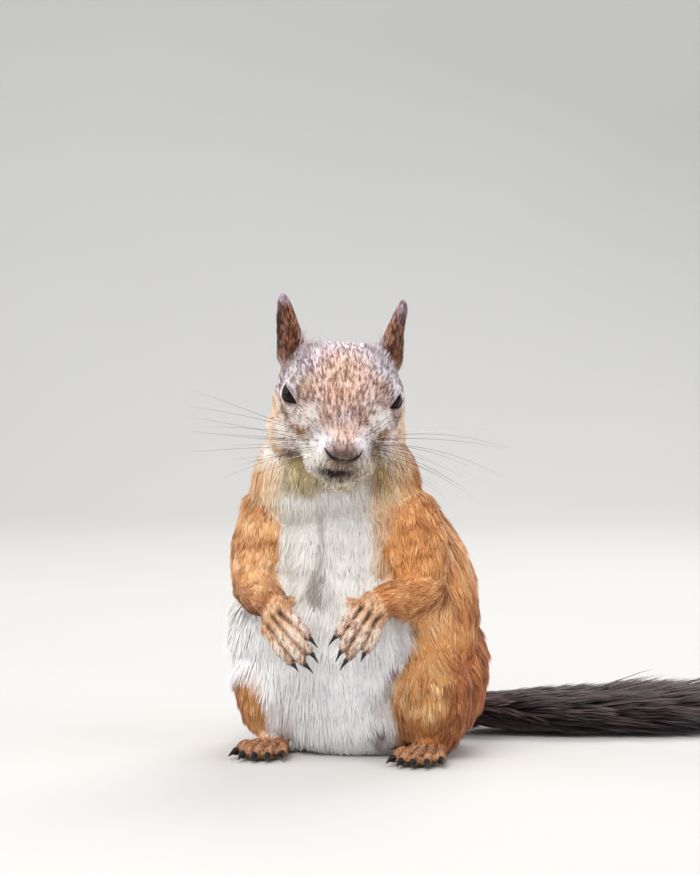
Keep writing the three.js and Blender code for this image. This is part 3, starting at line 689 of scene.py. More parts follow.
def lie_of_coat():
    """Unit vectors over the skin, along which the hair lies."""
    f = np.zeros_like(P)
    f[:] = (0, 0, -1)
    torso = IS["torso"] | IS["neck"]
    out = unit(np.stack([N[:, 0], N[:, 1], 0 * N[:, 0]], -1))
    across = np.array([math.cos(BODY_YAW), -math.sin(BODY_YAW), 0])
    fan = np.clip(body_angle(P) / 1.2, -1, 1) * 0.35
    f[torso] = (f + across * fan[:, None])[torso]
    f[IS["neck"]] += (out * 0.15)[IS["neck"]]
    start, along = tail_at(0)[:2]
    turn = np.exp(-dot(P - start, P - start) / 17.0**2)[:, None]
    f[torso] = (f * (1 - turn) + along * 1.3 * turn)[torso]
    f[IS["head"]] = unit(P - NOSE)[IS["head"]] + np.array([0, 0, -0.22])
    for k in SIDES:
        mine = LEFT == k
        base, tip = ear_line(k)
        f[IS["ear"] & mine] = tip - base
        f[IS["upper_arm"] & mine] = ARM_LINE[k]["upper"]
        f[IS["forearm"] & mine] = ARM_LINE[k]["fore"]
        f[IS["hand"] & mine] = ARM_LINE[k]["hand"]
        f[IS["foot"] & mine] = TOES[k]
        f[IS["thigh"] & mine] = (0.12 * k, 0.18, -1)
        f[IS["shank"] & mine] = (0.05 * k, -0.1, -1)
    tail = IS["tail_root"] | IS["tail_core"]
    f[tail] = (tail_at(tail_share(P))[1] + np.array([0, 1.4, 0]) * turn)[tail]
    f = WEB.soften(unit(f), 26)
    f = f - N * dot(f, N)[:, None]
    for k, (c, _, e1, e2) in EYES.items():  # it parts round the eyes
        gap, seen = lid_gap(k, P)
        near = (1 - step(0.8, 4.5, gap)) * seen * IS["head"]
        r = e1 * ((P - c) @ e1)[:, None] + e2 * ((P - c) @ e2 - LID_MID)[:, None]
        r = unit(r - N * dot(r, N)[:, None])
        inward = np.minimum(dot(unit(f), r), 0) - 0.1
        f = unit(f) - r * (inward * near)[:, None]
    return unit(f)


def body_angle(p):
    """Angle round the body from the middle of its front: + towards the animal's left."""
    z = np.clip(p[:, 2], 0, 120)
    cx = np.interp(z, [0, 17, 52, 86, 111], [7, 5.5, 4.5, 1.5, -2.5])
    cy = np.interp(z, [0, 17, 52, 86, 111], [9, 6, 1, -6, -14])
    d = np.stack([p[:, 0] - cx, p[:, 1] - cy], -1)
    front = np.array([-math.sin(BODY_YAW), -math.cos(BODY_YAW)])
    left = np.array([math.cos(BODY_YAW), -math.sin(BODY_YAW)])
    return np.arctan2(d @ left, d @ front)


# ---------------------------------------------------------------- markings
def lin(c):
    """An sRGB colour of 0 to 255 as linear light."""
    c = np.asarray(c, float) / 255
    return np.where(c <= 0.04045, c / 12.92, ((c + 0.055) / 1.055) ** 2.4)


def shade(base, dark, light, share_dark, share_light):
    return np.concatenate([lin(base), lin(dark), lin(light), [share_dark, share_light]])


# [base, dark hairs, light hairs, share of dark hairs, share of light ones]
SHADE = dict(
    white=shade((250, 250, 252), (226, 226, 232), (255, 255, 255), 0.08, 0.2),
    chalk=shade((222, 219, 212), (186, 180, 172), (244, 242, 238), 0.1, 0.2),
    cream=shade((236, 222, 198), (190, 168, 132), (252, 246, 234), 0.12, 0.2),
    sand=shade((236, 190, 138), (180, 120, 72), (250, 226, 190), 0.18, 0.24),
    peach=shade((236, 186, 132), (176, 106, 60), (252, 222, 184), 0.18, 0.26),
    orange=shade((212, 142, 80), (150, 82, 40), (244, 196, 140), 0.22, 0.22),
    tan=shade((204, 146, 90), (144, 84, 46), (238, 198, 150), 0.22, 0.24),
    gold=shade((218, 170, 112), (164, 104, 58), (246, 216, 172), 0.2, 0.26),
    rust=shade((176, 102, 54), (100, 48, 26), (218, 150, 96), 0.26, 0.18),
    deep=shade((128, 64, 34), (80, 40, 26), (170, 96, 56), 0.22, 0.1),
    crown=shade((210, 192, 198), (96, 66, 70), (250, 240, 246), 0.34, 0.34),
    brow=shade((218, 172, 148), (96, 56, 44), (252, 230, 216), 0.36, 0.3),
    amber=shade((176, 128, 84), (72, 42, 30), (234, 194, 150), 0.36, 0.24),
    lilac=shade((182, 168, 174), (78, 58, 66), (246, 236, 244), 0.33, 0.32),
    pale=shade((242, 228, 220), (134, 104, 92), (255, 252, 248), 0.24, 0.3),
    muzzle=shade((246, 240, 242), (150, 136, 134), (255, 255, 255), 0.12, 0.3),
    chin=shade((214, 202, 176), (112, 94, 68), (250, 246, 234), 0.24, 0.34),
    umber=shade((106, 80, 54), (50, 36, 26), (180, 154, 126), 0.3, 0.26),
    moss=shade((138, 108, 60), (82, 60, 34), (194, 166, 112), 0.24, 0.22),
    gape=shade((36, 25, 24), (16, 11, 11), (104, 84, 76), 0.25, 0.14),
    bridge=shade((226, 192, 176), (120, 80, 66), (252, 236, 228), 0.26, 0.28),
    nose=shade((128, 98, 84), (30, 20, 21), (200, 172, 156), 0.42, 0.26),
    dusk=shade((58, 38, 38), (34, 22, 24), (92, 68, 64), 0.2, 0.1),
    khaki=shade((124, 97, 64), (56, 40, 30), (184, 156, 112), 0.36, 0.2),
    olive=shade((168, 144, 92), (106, 86, 52), (220, 202, 156), 0.22, 0.2),
    spot=shade((152, 100, 62), (92, 56, 38), (206, 152, 108), 0.28, 0.12),
    ear=shade((104, 58, 36), (30, 16, 16), (186, 126, 92), 0.44, 0.26),
    ear_edge=shade((164, 108, 78), (70, 38, 30), (224, 182, 150), 0.34, 0.26),
    ear_tip=shade((170, 146, 164), (88, 58, 74), (236, 226, 238), 0.32, 0.34),
    cup=shade((146, 98, 84), (90, 54, 50), (190, 148, 136), 0.3, 0.2),
    paw=shade((238, 186, 142), (138, 84, 54), (252, 222, 188), 0.24, 0.24),
    finger=shade((252, 220, 198), (92, 56, 45), (255, 246, 238), 0.3, 0.34),
    toe=shade((148, 106, 68), (74, 48, 36), (198, 156, 112), 0.28, 0.16),
    nipple=shade((158, 112, 118), (112, 78, 86), (196, 156, 156), 0.2, 0.2),
    tail=shade((62, 44, 50), (32, 24, 30), (104, 70, 62), 0.25, 0.18),
    tail_red=shade((116, 60, 40), (64, 38, 34), (160, 96, 62), 0.25, 0.12),
    grey=shade((184, 176, 172), (138, 126, 122), (218, 212, 210), 0.15, 0.15),
    smoke=shade((122, 110, 100), (74, 64, 60), (180, 168, 156), 0.26, 0.22),
)

# the edges of the white underside as seen from the front: [height, to its right, to its left]
WHITE_EDGE = np.array([
    (0, -29, 15), (14, -29, 17.5), (29, -31, 16), (34, -60, 18), (48, -60, 23), (60, -60, 22), (67, -38, 13),
    (74, -26, 8), (88, -24, 8.4), (99, -22.6, 7.6), (106, -21, 9), (113, -18, 12),
])


# stains and teats at the left edge of the white, seen from the front: [x and z, half sizes, shade, strength]
STAINS = [
    ((20.5, 50), (4.4, 9), "grey", 0.8), ((24.5, 51), (1.8, 2.2), "smoke", 0.7),
    ((16.6, 38), (2.4, 4.6), "nipple", 0.9), ((14.8, 31), (2.4, 5.0), "smoke", 0.75),
    ((12.0, 27), (4.0, 4.5), "grey", 0.7), ((11.6, 12), (4, 6), "smoke", 0.85),
    ((-8.6, 84), (1.7, 15), "smoke", 0.4), ((-10.0, 67), (3.2, 7.5), "smoke", 0.7),
    ((-5.0, 64), (1.8, 6.5), "grey", 0.6),
]

WHISKER_ROWS = [(row, col) for row in range(4) for col in range(5)]


def whisker_root(row, col):
    """Where a whisker grows, as s, t and h of the head on its left side."""
    return 24.5 - 2.2 * col, 9 + 1.6 * col, -4.4 - 2.3 * row + 0.15 * col


class Coat:
    """Colours at points of the skin, as rows like those of SHADE, painted one over the other."""

    def __init__(self, p, n, part, side):
        self.p, self.n, self.part, self.side = p, n, part, side
        self.mark = np.tile(SHADE["rust"], (len(p), 1))
        self.wob = noise(p, 7, 3) * 0.6 + noise(p, 3, 4) * 0.4
        self.streak = noise(p * [1, 1, 0.22], 3.6, 9) * 0.7 + noise(p * [1, 1, 0.3], 1.7, 10) * 0.5
        self.left = (side > 0).astype(float)
        self.front = 1 - step(0.1, 0.5, n[:, 1])
        to_right, to_left = (np.interp(p[:, 2], WHITE_EDGE[:, 0], WHITE_EDGE[:, c]) for c in (1, 2))
        self.inside = np.minimum(p[:, 0] - to_right, to_left - p[:, 0]) + self.wob * 1.6  # the white's edge

    def paint(self, weight, name):
        self.mark += np.clip(weight, 0, 1)[:, None] * (SHADE[name] - self.mark)

    def on(self, *names):
        return is_part(self.part, *names).astype(float)

    def blob(self, q, middle, half, soft=0.35):
        """1 inside an ellipsoid and 0 outside, with a wavering soft edge."""
        d = np.sqrt((((q - np.array(middle)) / np.array(half)) ** 2).sum(-1)) + self.wob * 0.12
        return 1 - step(1 - soft, 1 + soft, d)

    def spot(self, middle, half):
        """A spot that fades from its middle, seen from the front."""
        x, z = self.p[:, 0] - middle[0], self.p[:, 2] - middle[1]
        return np.exp(-((x / half[0]) ** 2) - (z / half[1]) ** 2)


def mark_trunk(c):
    """White below, orange at the sides, deep rust down the back."""
    paint, wob, inside = c.paint, c.wob, c.inside
    x, _, z = c.p.T
    trunk, neck = c.on("torso", "neck"), c.on("neck")
    deg = body_angle(c.p) / RAD + wob * 5
    turned = np.abs(deg)
    paint(trunk * (1 - step(80, 118, turned)), "orange")
    paint(trunk * step(124, 168, turned), "deep")
    facing = 1 - step(82, 98, np.where(deg < 0, -deg, deg - 14))
    paint(trunk * facing * step(-7, -1.5, inside), "tan")
    paint(neck * (1 - step(70, 105, turned)), "sand")
    upper = step(56, 70, z)
    paint(trunk * facing * step(-13, -4, inside + wob * 2) * upper * 0.55, "cream")
    white = facing * step(-1.6 - 2.2 * upper, 1.6 + 1.2 * upper, inside)
    paint(trunk * white, "white")
    paint(trunk * white * step(40, 66, z) * 0.85, "chalk")
    margin = (1 - step(3, 8, inside)) * step(-3, 0, inside) * step(30, 40, z) * (1 - step(60, 66, z))
    paint(trunk * facing * margin * (x < 0) * 0.3, "cream")
    paint(neck * step(106, 114, z + wob * 4) * (1 - step(68, 92, turned)) * 0.45, "cream")
    collar = step(109, 115, z + wob * 3) * (1 - step(120, 126, z)) * (1 - step(60, 84, turned))
    paint(neck * collar * 0.8, "pale")
    paint(trunk * c.spot((12, 108), (6.5, 6)) * c.front * 0.95, "moss")
    paint(trunk * step(98, 105, z) * (1 - step(26, 46, np.abs(deg + 6))) * 0.9, "olive")
    paint(trunk * c.spot((33, 58), (8, 8)) * c.front, "peach")
    paint(trunk * c.spot((45, 80), (9, 14)) * (c.n[:, 1] < 0.5) * 0.9, "peach")
    paint(trunk * c.spot((46, 60), (8, 4)) * np.exp(wob * 0.4) * 0.7, "rust")


def mark_hind_legs(c):
    """Golden in front, rust behind; the right one lies under the belly's white fringe."""
    paint, wob, streak = c.paint, c.wob, c.streak
    x, _, z = c.p.T
    leg = c.on("thigh", "shank")
    ahead = 1 - step(-0.25, 0.65, c.n[:, 1] + 0.55 * c.n[:, 0] * np.where(c.side > 0, 1, -1) + wob * 0.1)
    paint(leg, "rust")
    paint(leg * ahead, "tan")
    middle = c.left * (1 - step(34, 42, x + wob * 3)) * step(8, 20, z)
    paint(leg * ahead * step(-0.1, 0.7, streak) * middle, "gold")
    left, right = leg * c.left * c.front, leg * (1 - c.left) * c.front
    paint(left * step(33, 43, x + wob * 4 + streak * 3) * 0.9, "rust")
    paint(left * (1 - step(10, 24, z + wob * 4)) * 0.7, "rust")
    paint((left + right) * step(0.35, 0.9, -streak) * 0.45, "rust")
    paint(left * step(-1.6, 1.6, c.inside), "white")
    paint(right * step(-2.5, 3, x + 29 + wob * 4 + streak * 2), "white")
    paint(right * step(28, 37, z + wob * 4 + streak * 3), "white")


def mark_stains(c):
    low = c.on("torso", "neck", "thigh", "shank") * c.front
    for middle, half, name, much in STAINS:
        d = np.hypot((c.p[:, 0] - middle[0]) / half[0], (c.p[:, 2] - middle[1]) / half[1])
        c.paint(low * (1 - step(0.4, 1.3, d + c.wob * 0.3 - c.streak * 0.2)) * much, name)


def mark_arms_and_feet(c):
    paint, wob, n = c.paint, c.wob, c.n
    arm, hand, foot = c.on("upper_arm", "forearm"), c.on("hand"), c.on("foot")
    band = noise(c.p * [0.35, 0.35, 1], 3.4, 11)
    paint(arm, "orange")
    lit = step(-0.3, 0.6, -n[:, 1] + n[:, 2] * 0.5 + wob * 0.3)
    paint(arm * lit * np.where(c.side > 0, 0.15, 0.75), "peach")
    paint(arm * step(0.0, 0.7, band) * np.where(c.side > 0, 0.85, 0.55), "rust")
    paint(arm * step(0.3, 0.8, n[:, 1]) * 0.7, "rust")
    gap, back, along = digits(c.p, c.part, c.side)
    paint(hand, "paw")
    paint(hand * step(0.12, 0.34, along + wob * 0.05) * (0.35 + 0.65 * back), "finger")
    paint(hand * step(0.72, 0.92, along + wob * 0.04), "toe")
    paint(foot, "paw")
    paint(foot * 0.4, "rust")
    paint(foot * step(0.75, 0.98, along) * 0.5, "toe")
    paint(foot * (1 - step(1.5, 3.5, c.p[:, 2])) * 0.8, "toe")
    paint((hand + foot) * np.clip(gap * 1.6, 0, 1), "dusk")


def mark_tail(c):
    """Rust where it leaves the rump, which takes its darker red there, and then black-brown."""
    share = tail_share(c.p)
    tail = c.on("tail_root", "tail_core")
    c.paint(tail, "tail_red")
    c.paint(tail * (1 - step(0.0, 0.16, share + c.wob * 0.03)) * 0.85, "rust")
    near = np.exp(-((c.p - tail_at(0)[0]) ** 2).sum(-1) / 24.0**2)
    rump = c.on("torso", "neck", "thigh", "shank") * step(-0.2, 0.4, c.n[:, 1])
    c.paint(rump * step(0.15, 0.7, near + c.wob * 0.1) * 0.6, "tail_red")
    c.paint(tail * step(0.12, 0.34, share), "tail")


def mark_head(c):
    paint, wob = c.paint, c.wob
    q = head_of(c.p)
    s, t, h = q.T
    u = np.abs(t)
    sym = np.c_[s, u, h]
    head = c.on("head")
    dash = noise(q * [1, 1.6, 0.5], 2.0, 12)

    def patch(name, middle, half, soft, left=(1, 0), right=None):
        """A soft patch on both sides of the face. left, right: its strength, and what the dashes add to it."""
        much = np.where(t > 0, *(a + b * dash for a, b in (left, right or left)))
        paint(head * c.blob(sym, middle, half, soft) * much, name)

    paint(head, "crown")
    paint(head * step(9, 16, u + wob * 3) * step(0, 9, h + wob * 2), "lilac")
    patch("brow", (9, 0, 10.5), (14, 11.5, 12), 0.35)
    patch("amber", (12.0, 12.6, 7.4), (6.2, 4.4, 7.0), 0.6, (0.75, 0.25))
    patch("amber", (20, 6.5, 2.5), (5, 4.5, 4.5), 0.5, (0.6, 0))
    paint(head * step(17, 21, u - h * 0.25) * (1 - step(-1, 5, h)) * (1 - step(10, 18, s)), "sand")
    paint(head * (1 - step(-3, 6, h + wob * 3)) * (1 - step(-8, 0, s)), "orange")
    paint(head * (1 - step(-18, -7, s + wob * 4)) * 0.85, "rust")
    paint(head * step(15, 20, u) * (1 - step(-6, 2, s + wob * 3)) * step(0, 6, h) * 0.6, "ear_edge")
    patch("pale", (12, 15.5, -7), (12, 9.5, 9.5), 0.6, (0.45, 0), (0.9, 0))
    patch("pale", (19, 12.5, 1.8), (4.6, 4.0, 4.2), 0.6, (0.9, 0))
    patch("pale", (7.5, 19.6, 12.6), (6.5, 4.6, 2.6), 0.5, (0.3, 0))
    patch("bridge", (24, 0, -1.6), (7, 5.2, 4.8), 0.5)
    patch("muzzle", (23, 8.5, -9.5), (9, 6.5, 7), 0.45)
    for row, col in WHISKER_ROWS:  # a dark speck at the root of each whisker
        patch("smoke", whisker_root(row, col), (1.1, 0.9, 0.4), 0.6, (0.7 if col else 0.3, 0))
    patch("spot", (19.5, 14.2, -3.8), (3.2, 3.6, 2.0), 0.6, (0.9, 0))
    patch("amber", (16.5, 17.2, -3.4), (2.6, 2.6, 1.8), 0.6, (0.7, 0))
    patch("khaki", (13, 15.5, -15.5), (6.5, 5.0, 3.0), 0.5, (0.85, 0))
    paint(head * (1 - step(-18.5, -16, h + wob)), "chin")
    paint(head * (1 - step(-21, -16, h)) * (1 - step(8, 14, s)), "olive")
    paint(head * step(0.2, 0.7, dash) * step(4, 10, h) * 0.3, "lilac")
    patch("nose", (31, 0, -6.9), (5, 5.6, 3.7), 0.75)
    patch("dusk", (31.5, 0, -8.2), (4.4, 5.6, 3.0), 0.7, (0.7, 0.3))
    # the muzzle's right side is cream, its left one brown with an olive edge towards the throat
    patch("umber", (22, 12, -3), (4.4, 4, 3.2), 0.7, (0.4, 0), (0.22, 0.4))
    patch("chin", (21, 12, -9.5), (5, 3.4, 5), 0.7, (0, 0), (0.5, 0.4))
    patch("umber", (25, 9.4, -9.5), (6, 4, 5), 0.7, (0.5, 0.35), (0, 0))
    patch("umber", (22, 12.6, -9.8), (7, 4.6, 6), 0.7, (0.95, 0), (0, 0))
    patch("moss", (21.5, 9.5, -14.2), (7.5, 5, 4.4), 0.7, (0.95, 0), (0, 0))
    patch("chin", (27, 0, -13.5), (9, 12, 5.5), 0.5, (0.75, 0))
    patch("umber", (29.2, 0, -12.6), (7, 7.4, 4.2), 0.5, (0.86, 0.5))
    # nostrils, cleft, the line of the mouth and the dark between the parted lips
    (nostril, on_nostril), (cleft, _), (mouth, on_mouth) = face_lines(q)
    lips = parted(c.p) + wob * 0.12
    at_front = head * step(17, 22, s)
    paint(at_front * (1 - step(1.0, 1.8, lips)) * (h > -18) * 0.6, "smoke")
    edge = 1 - step(0.28 + 0.3 * on_nostril, 0.7 + 0.5 * on_nostril, nostril)
    paint(at_front * edge * step(0, 0.1, on_nostril), "gape")
    paint(at_front * (1 - step(0.3, 0.9, cleft)) * 0.6, "dusk")
    ends = step(0.1, 0.35, on_mouth) * step(0.9, 0.65, on_mouth)
    paint(at_front * (1 - step(0.8, 1.6, mouth + wob * 0.4)) * ends, "dusk")
    paint(at_front * (1 - step(0.5, 1.15, lips + 0.35 * dash)), "gape")
    patch("smoke", (-3, 21, 15), (5, 4, 6.5), 0.7, (0.3, 0), (0.75, 0))


def mark_lids(c):
    """A pale rim below each eye, brown by its front corner and dark along the opening."""
    for k, (centre, _, e1, e2) in EYES.items():
        lid = np.c_[(c.p - centre) @ e1, (c.p - centre) @ e2]
        gap, near = lid_gap(k, c.p)
        seen = c.on("head") * near
        c.paint(seen * (1 - step(1.2, 2.4, gap)) * (1 - step(-0.9, 0.2, lid[:, 1])) * 0.85, "pale")
        c.paint(seen * c.blob(lid, (5.4, -5.2), (3.6, 1.9), 0.8) * 0.85, "khaki")
        c.paint(seen * c.blob(lid, (6.4, -1.2), (2.6, 2.6), 0.8) * (0.7 if k > 0 else 0.35), "khaki")
        c.paint(seen * (1 - step(0.35, 0.85, gap + 0.25 * step(0, 1, lid[:, 1]))), "dusk")


def mark_ears(c):
    """Dark, with a paler edge towards the crown, lilac tips and a bare cup."""
    for k in SIDES:
        ear = c.on("ear") * (c.side == k)
        base, tip = ear_line(k)
        f = along_ear(k, c.p) + c.wob * 0.04
        off = c.p - (base + f[:, None] * (tip - base))
        c.paint(ear, "ear")
        c.paint(ear * (0.3 if k > 0 else 0), "ear_edge")
        c.paint(ear * step(0.25, 0.8, dot(off, -SIDE * k) / 5) * 0.8, "ear_edge")
        c.paint(ear * (1 - step(0.05, 0.3, f)) * 0.7, "ear_edge")
        c.paint(ear * (1 - step(0.0, 0.14, f)), "lilac")
        c.paint(ear * step(0.84 if k < 0 else 0.6, 1.0, f + c.wob * 0.06) * 0.85, "ear_tip")
        cup = ear * step(0.84, 0.98, dot(c.n, SIDE * k)) * step(0.36, 0.48, f) * (1 - step(0.84, 0.95, f))
        wide = np.abs(dot(off, unit(SNOUT * 0.9 - SIDE * 0.42 * k))) / 5
        c.paint(cup * (1 - step(0.5, 0.9, wide)), "cup")


def markings(p, n, part, side):
    """The coat's colours at points of the skin, for the skin itself and for the hairs that grow there."""
    coat = Coat(p, n, part, side)
    mark_trunk(coat)
    mark_hind_legs(coat)
    mark_stains(coat)
    mark_arms_and_feet(coat)
    mark_tail(coat)
    mark_head(coat)
    mark_lids(coat)
    mark_ears(coat)
    return coat.mark


FLOW = lie_of_coat()
MARK = markings(P, N, PART, LEFT)


# ---------------------------------------------------------------- materials
def node_tree(name):
    m = bpy.data.materials.new(name)
    m.use_nodes = True
    t = m.node_tree
    t.nodes.clear()
    out = t.nodes.new("ShaderNodeOutputMaterial")
    b = t.nodes.new("ShaderNodeBsdfPrincipled")
    t.links.new(b.outputs[0], out.inputs[0])
    return m, t, b


def add(t, kind, **values):
    n = t.nodes.new(kind)
    for key, v in values.items():
        if hasattr(n, key):
            setattr(n, key, v)
        else:
            n.inputs[key].default_value = v
    return n


def ramp(t, source, lowest, highest):
    n = add(t, "ShaderNodeMapRange")
    n.inputs["To Min"].default_value = lowest
    n.inputs["To Max"].default_value = highest
    t.links.new(source, n.inputs["Value"])
    return n.outputs["Result"]


def times(t, colour, value):
    n = add(t, "ShaderNodeVectorMath", operation="SCALE")
    t.links.new(colour, n.inputs[0])
    t.links.new(value, n.inputs["Scale"])
    return n.outputs[0]


def material(name, noise_node, tint, rough, bump=None, strands=False, **shader):
    """The mesh's own colour under a noise, which also drives roughness and bump.

    tint and rough: the lowest and highest that the noise makes them. bump: its strength and distance.
    strands: the noise lies along each tuft, not in the object's space. shader: values of the shader itself.
    """
    m, t, b = node_tree(name)
    colour = add(t, "ShaderNodeAttribute", attribute_name="Coat").outputs["Color"]
    if strands:
        place = add(t, "ShaderNodeMapping", Scale=(7.0, 0.8, 1.0))
        t.links.new(add(t, "ShaderNodeUVMap", uv_map="Strand").outputs[0], place.inputs[0])
        where = place.outputs[0]
    else:
        where = add(t, "ShaderNodeTexCoord").outputs["Object"]
    n = add(t, "ShaderNodeTexNoise", **noise_node)
    t.links.new(where, n.inputs["Vector"])
    grain = n.outputs["Fac"]
    t.links.new(times(t, colour, ramp(t, grain, *tint)), b.inputs["Base Color"])
    if isinstance(rough, tuple):
        t.links.new(ramp(t, grain, *rough), b.inputs["Roughness"])
    else:
        b.inputs["Roughness"].default_value = rough
    if bump:
        bumps = add(t, "ShaderNodeBump", Strength=bump[0], Distance=bump[1])
        t.links.new(grain, bumps.inputs["Height"])
        t.links.new(bumps.outputs[0], b.inputs["Normal"])
    for key, v in shader.items():
        b.inputs[key.replace("_", " ")].default_value = v
    return m


def coat_material(name, rough, streak):
    """Hair: the coat's own colour, streaked along each tuft."""
    return material(
        name, dict(noise_dimensions="2D", Scale=1.0, Detail=2.0), (1 - streak, 1 + streak * 0.8),
        (rough - 0.12, rough + 0.12), (0.35, 0.00008), True,
        Specular_IOR_Level=0.25, Sheen_Weight=0.12, Sheen_Roughness=0.5)


COATS = {
    "fur_white": coat_material("Fur_white", 0.72, 0.10),
    "fur_face": coat_material("Fur_face", 0.72, 0.22),
    "fur_rust": coat_material("Fur_rust", 0.66, 0.24),
    "fur_ear": coat_material("Fur_ear", 0.7, 0.22),
    "fur_tail": coat_material("Fur_tail", 0.58, 0.28),
}
SKIN = material("Skin", dict(Scale=1400.0, Detail=4.0, Roughness=0.7), (0.76, 1.0), (0.55, 0.85), (0.5, 0.0002),
                Specular_IOR_Level=0.2)
EYE_LOOK = material("Eye", dict(Scale=900.0, Detail=3.0), (0.8, 1.2), 0.1, Specular_IOR_Level=0.1)
CLAW = material("Claw", dict(Scale=2600.0, Detail=3.0), (0.7, 1.25), (0.22, 0.42), (0.2, 0.00006))
HAIR = material("Whisker", dict(Scale=600.0, Detail=1.0), (0.85, 1.15), 0.4)


# ---------------------------------------------------------------- tufts
def unwrap(tris):
    """The skin's own unwrap of these faces: a place for each corner, (faces, 3, 2)."""
    used, flat = np.unique(tris, return_inverse=True)
    me = bpy.data.meshes.new("unwrap")
    me.from_pydata(to_frame(P[used]) * 10, [], flat.reshape(-1, 3).tolist())
    ob = bpy.data.objects.new("unwrap", me)
    bpy.context.scene.collection.objects.link(ob)
    bpy.context.view_layer.objects.active = ob
    for o in bpy.context.selected_objects:
        o.select_set(False)
    ob.select_set(True)
    bpy.ops.object.mode_set(mode="EDIT")
    bpy.ops.mesh.select_all(action="SELECT")
    bpy.ops.uv.smart_project(angle_limit=1.15, island_margin=0.004)
    bpy.ops.object.mode_set(mode="OBJECT")
    uv = get(me.uv_layers[0].data, "uv", 2).reshape(-1, 3, 2)
    bpy.data.objects.remove(ob)
    bpy.data.meshes.remove(me)
    return uv


def scatter(tris, weight, count, rng):
    """Random places on faces: face, and its three shares."""
    c = np.cumsum(weight)
    at = (np.arange(count) + rng.random(count)) / count * c[-1]
    face = np.minimum(np.searchsorted(c, at), len(tris) - 1)
    r1, r2 = np.sqrt(rng.random(count)), rng.random(count)
    return face, np.stack([1 - r1, r1 * (1 - r2), r1 * r2], -1)


# how far along a tuft each of its rings lies, and how wide it is there, by the number of rings
RINGS = {1: [(0.36, 1.0)], 3: [(0.18, 0.9), (0.48, 1.0), (0.78, 0.62)]}


def tuft_faces(count, rings):
    """Corners of every tuft's faces, those of one tuft, and which of these are its underside.

    A tuft is a root point, three-sided rings and a tip; the third side of a ring lies underneath.
    """
    tip = rings * 3 + 1
    tri, below = [], []
    for j in range(3):
        tri += [[0, 1 + (j + 1) % 3, 1 + j], [tip - 3 + j, tip - 3 + (j + 1) % 3, tip]]
        below += [j == 2] * 2
        for r in range(rings - 1):
            a, b = 1 + r * 3 + j, 1 + r * 3 + (j + 1) % 3
            tri += [[a, b, b + 3], [a, b + 3, a + 3]]
            below += [j == 2] * 2
    tri = np.array(tri)
    return (tri[None] + (np.arange(count) * (tip + 1))[:, None, None]).reshape(-1, 3), tri, np.array(below)


def grow(name, slot, root, n, way, length, width, lift, bend, soft, root_dark, mark, uv, rng,
         rings=1, thick=0.26, pull=None, pick=None):
    """A piece of coat: one thin tapered tuft for each root."""
    count = len(root)
    way = unit(way - n * dot(way, n)[:, None])
    side = unit(np.cross(way, n))
    d0 = way * np.cos(lift)[:, None] + n * np.sin(lift)[:, None]
    down = -n * (np.sin(lift) * bend)[:, None]
    m = rings * 3 + 2
    verts = np.empty((count, m, 3))
    norms = np.empty((count, m, 3))
    under = np.empty((count, m, 3))
    cols = np.empty((count, m, 3))
    # a share of the tufts is dark or light, and each keeps its tint from root to tip
    base, dark, light = mark[:, 0:3], mark[:, 3:6], mark[:, 6:9]
    if pick is None:
        pick = rng.random(count)
    is_dark = (pick < mark[:, 9])[:, None]
    is_light = (pick > 1 - mark[:, 10])[:, None]
    tint = base * (1 + 0.05 * rng.standard_normal(count))[:, None]
    amount = rng.uniform(0.45, 1.0, count)[:, None]
    tip = np.where(is_light, tint + (light - tint) * amount, tint)
    tip = np.clip(np.where(is_dark, tint + (dark - tint) * amount, tip), 0.002, 0.93)
    root_col = tip * root_dark[:, None]

    def at(f):
        return root + d0 * (length * f)[:, None] + down * (length * f * f)[:, None] + pull * (f * f)

    verts[:, 0] = root
    norms[:, 0] = n
    under[:, 0] = n
    cols[:, 0] = root_col
    keep = soft[:, None]
    for r, (f, w) in enumerate(RINGS[rings]):
        c = at(f)
        up = unit(np.cross(side, at(f + 0.05) - at(f - 0.05)))
        half = side * (width * 0.5 * w)[:, None]
        ring = [c - half, c + up * (width * thick * w)[:, None], c + half]
        middle = up * (1 - keep) + n * keep
        for j, (place, turn) in enumerate(zip(ring, (-0.45, 0.0, 0.45))):
            verts[:, 1 + r * 3 + j] = place
            norms[:, 1 + r * 3 + j] = middle + side * turn * (1 - keep)
            under[:, 1 + r * 3 + j] = n * 0.3 - up + side * turn
            cols[:, 1 + r * 3 + j] = root_col + (tip - root_col) * min(1.0, 0.35 + f * 1.3)
    verts[:, -1] = at(1.0)
    norms[:, -1] = norms[:, -3]
    under[:, -1] = under[:, -3]
    cols[:, -1] = tip * 1.03
    verts[..., 2] = np.maximum(verts[..., 2], TUFT_FLOOR)
    tris, pattern, below = tuft_faces(count, rings)
    corners = np.where(below[None, :, None, None], under[:, pattern], norms[:, pattern])
    u = np.array([0.5] + [0.0, 0.5, 1.0] * rings + [0.5])
    v = np.array([0.0] + [f for f, _ in RINGS[rings] for _ in range(3)] + [1.0])
    local = np.stack([u, v], -1)[pattern.ravel()]
    bake = np.clip(uv[:, None] + (local[None] - 0.5) * PATCH, 0.0005, 0.9995)
    strand = local[None] + rng.random((count, 1, 2)) * [40.0, 9.0]
    loops, starts = faces_of(tris)
    layers = (("OFBake", bake.reshape(-1, 2)), ("Strand", strand.reshape(-1, 2)))
    return make(name, verts.reshape(-1, 3), loops, starts, COATS[slot], cols.reshape(-1, 3),
                corners.reshape(-1, 3), layers, slot)


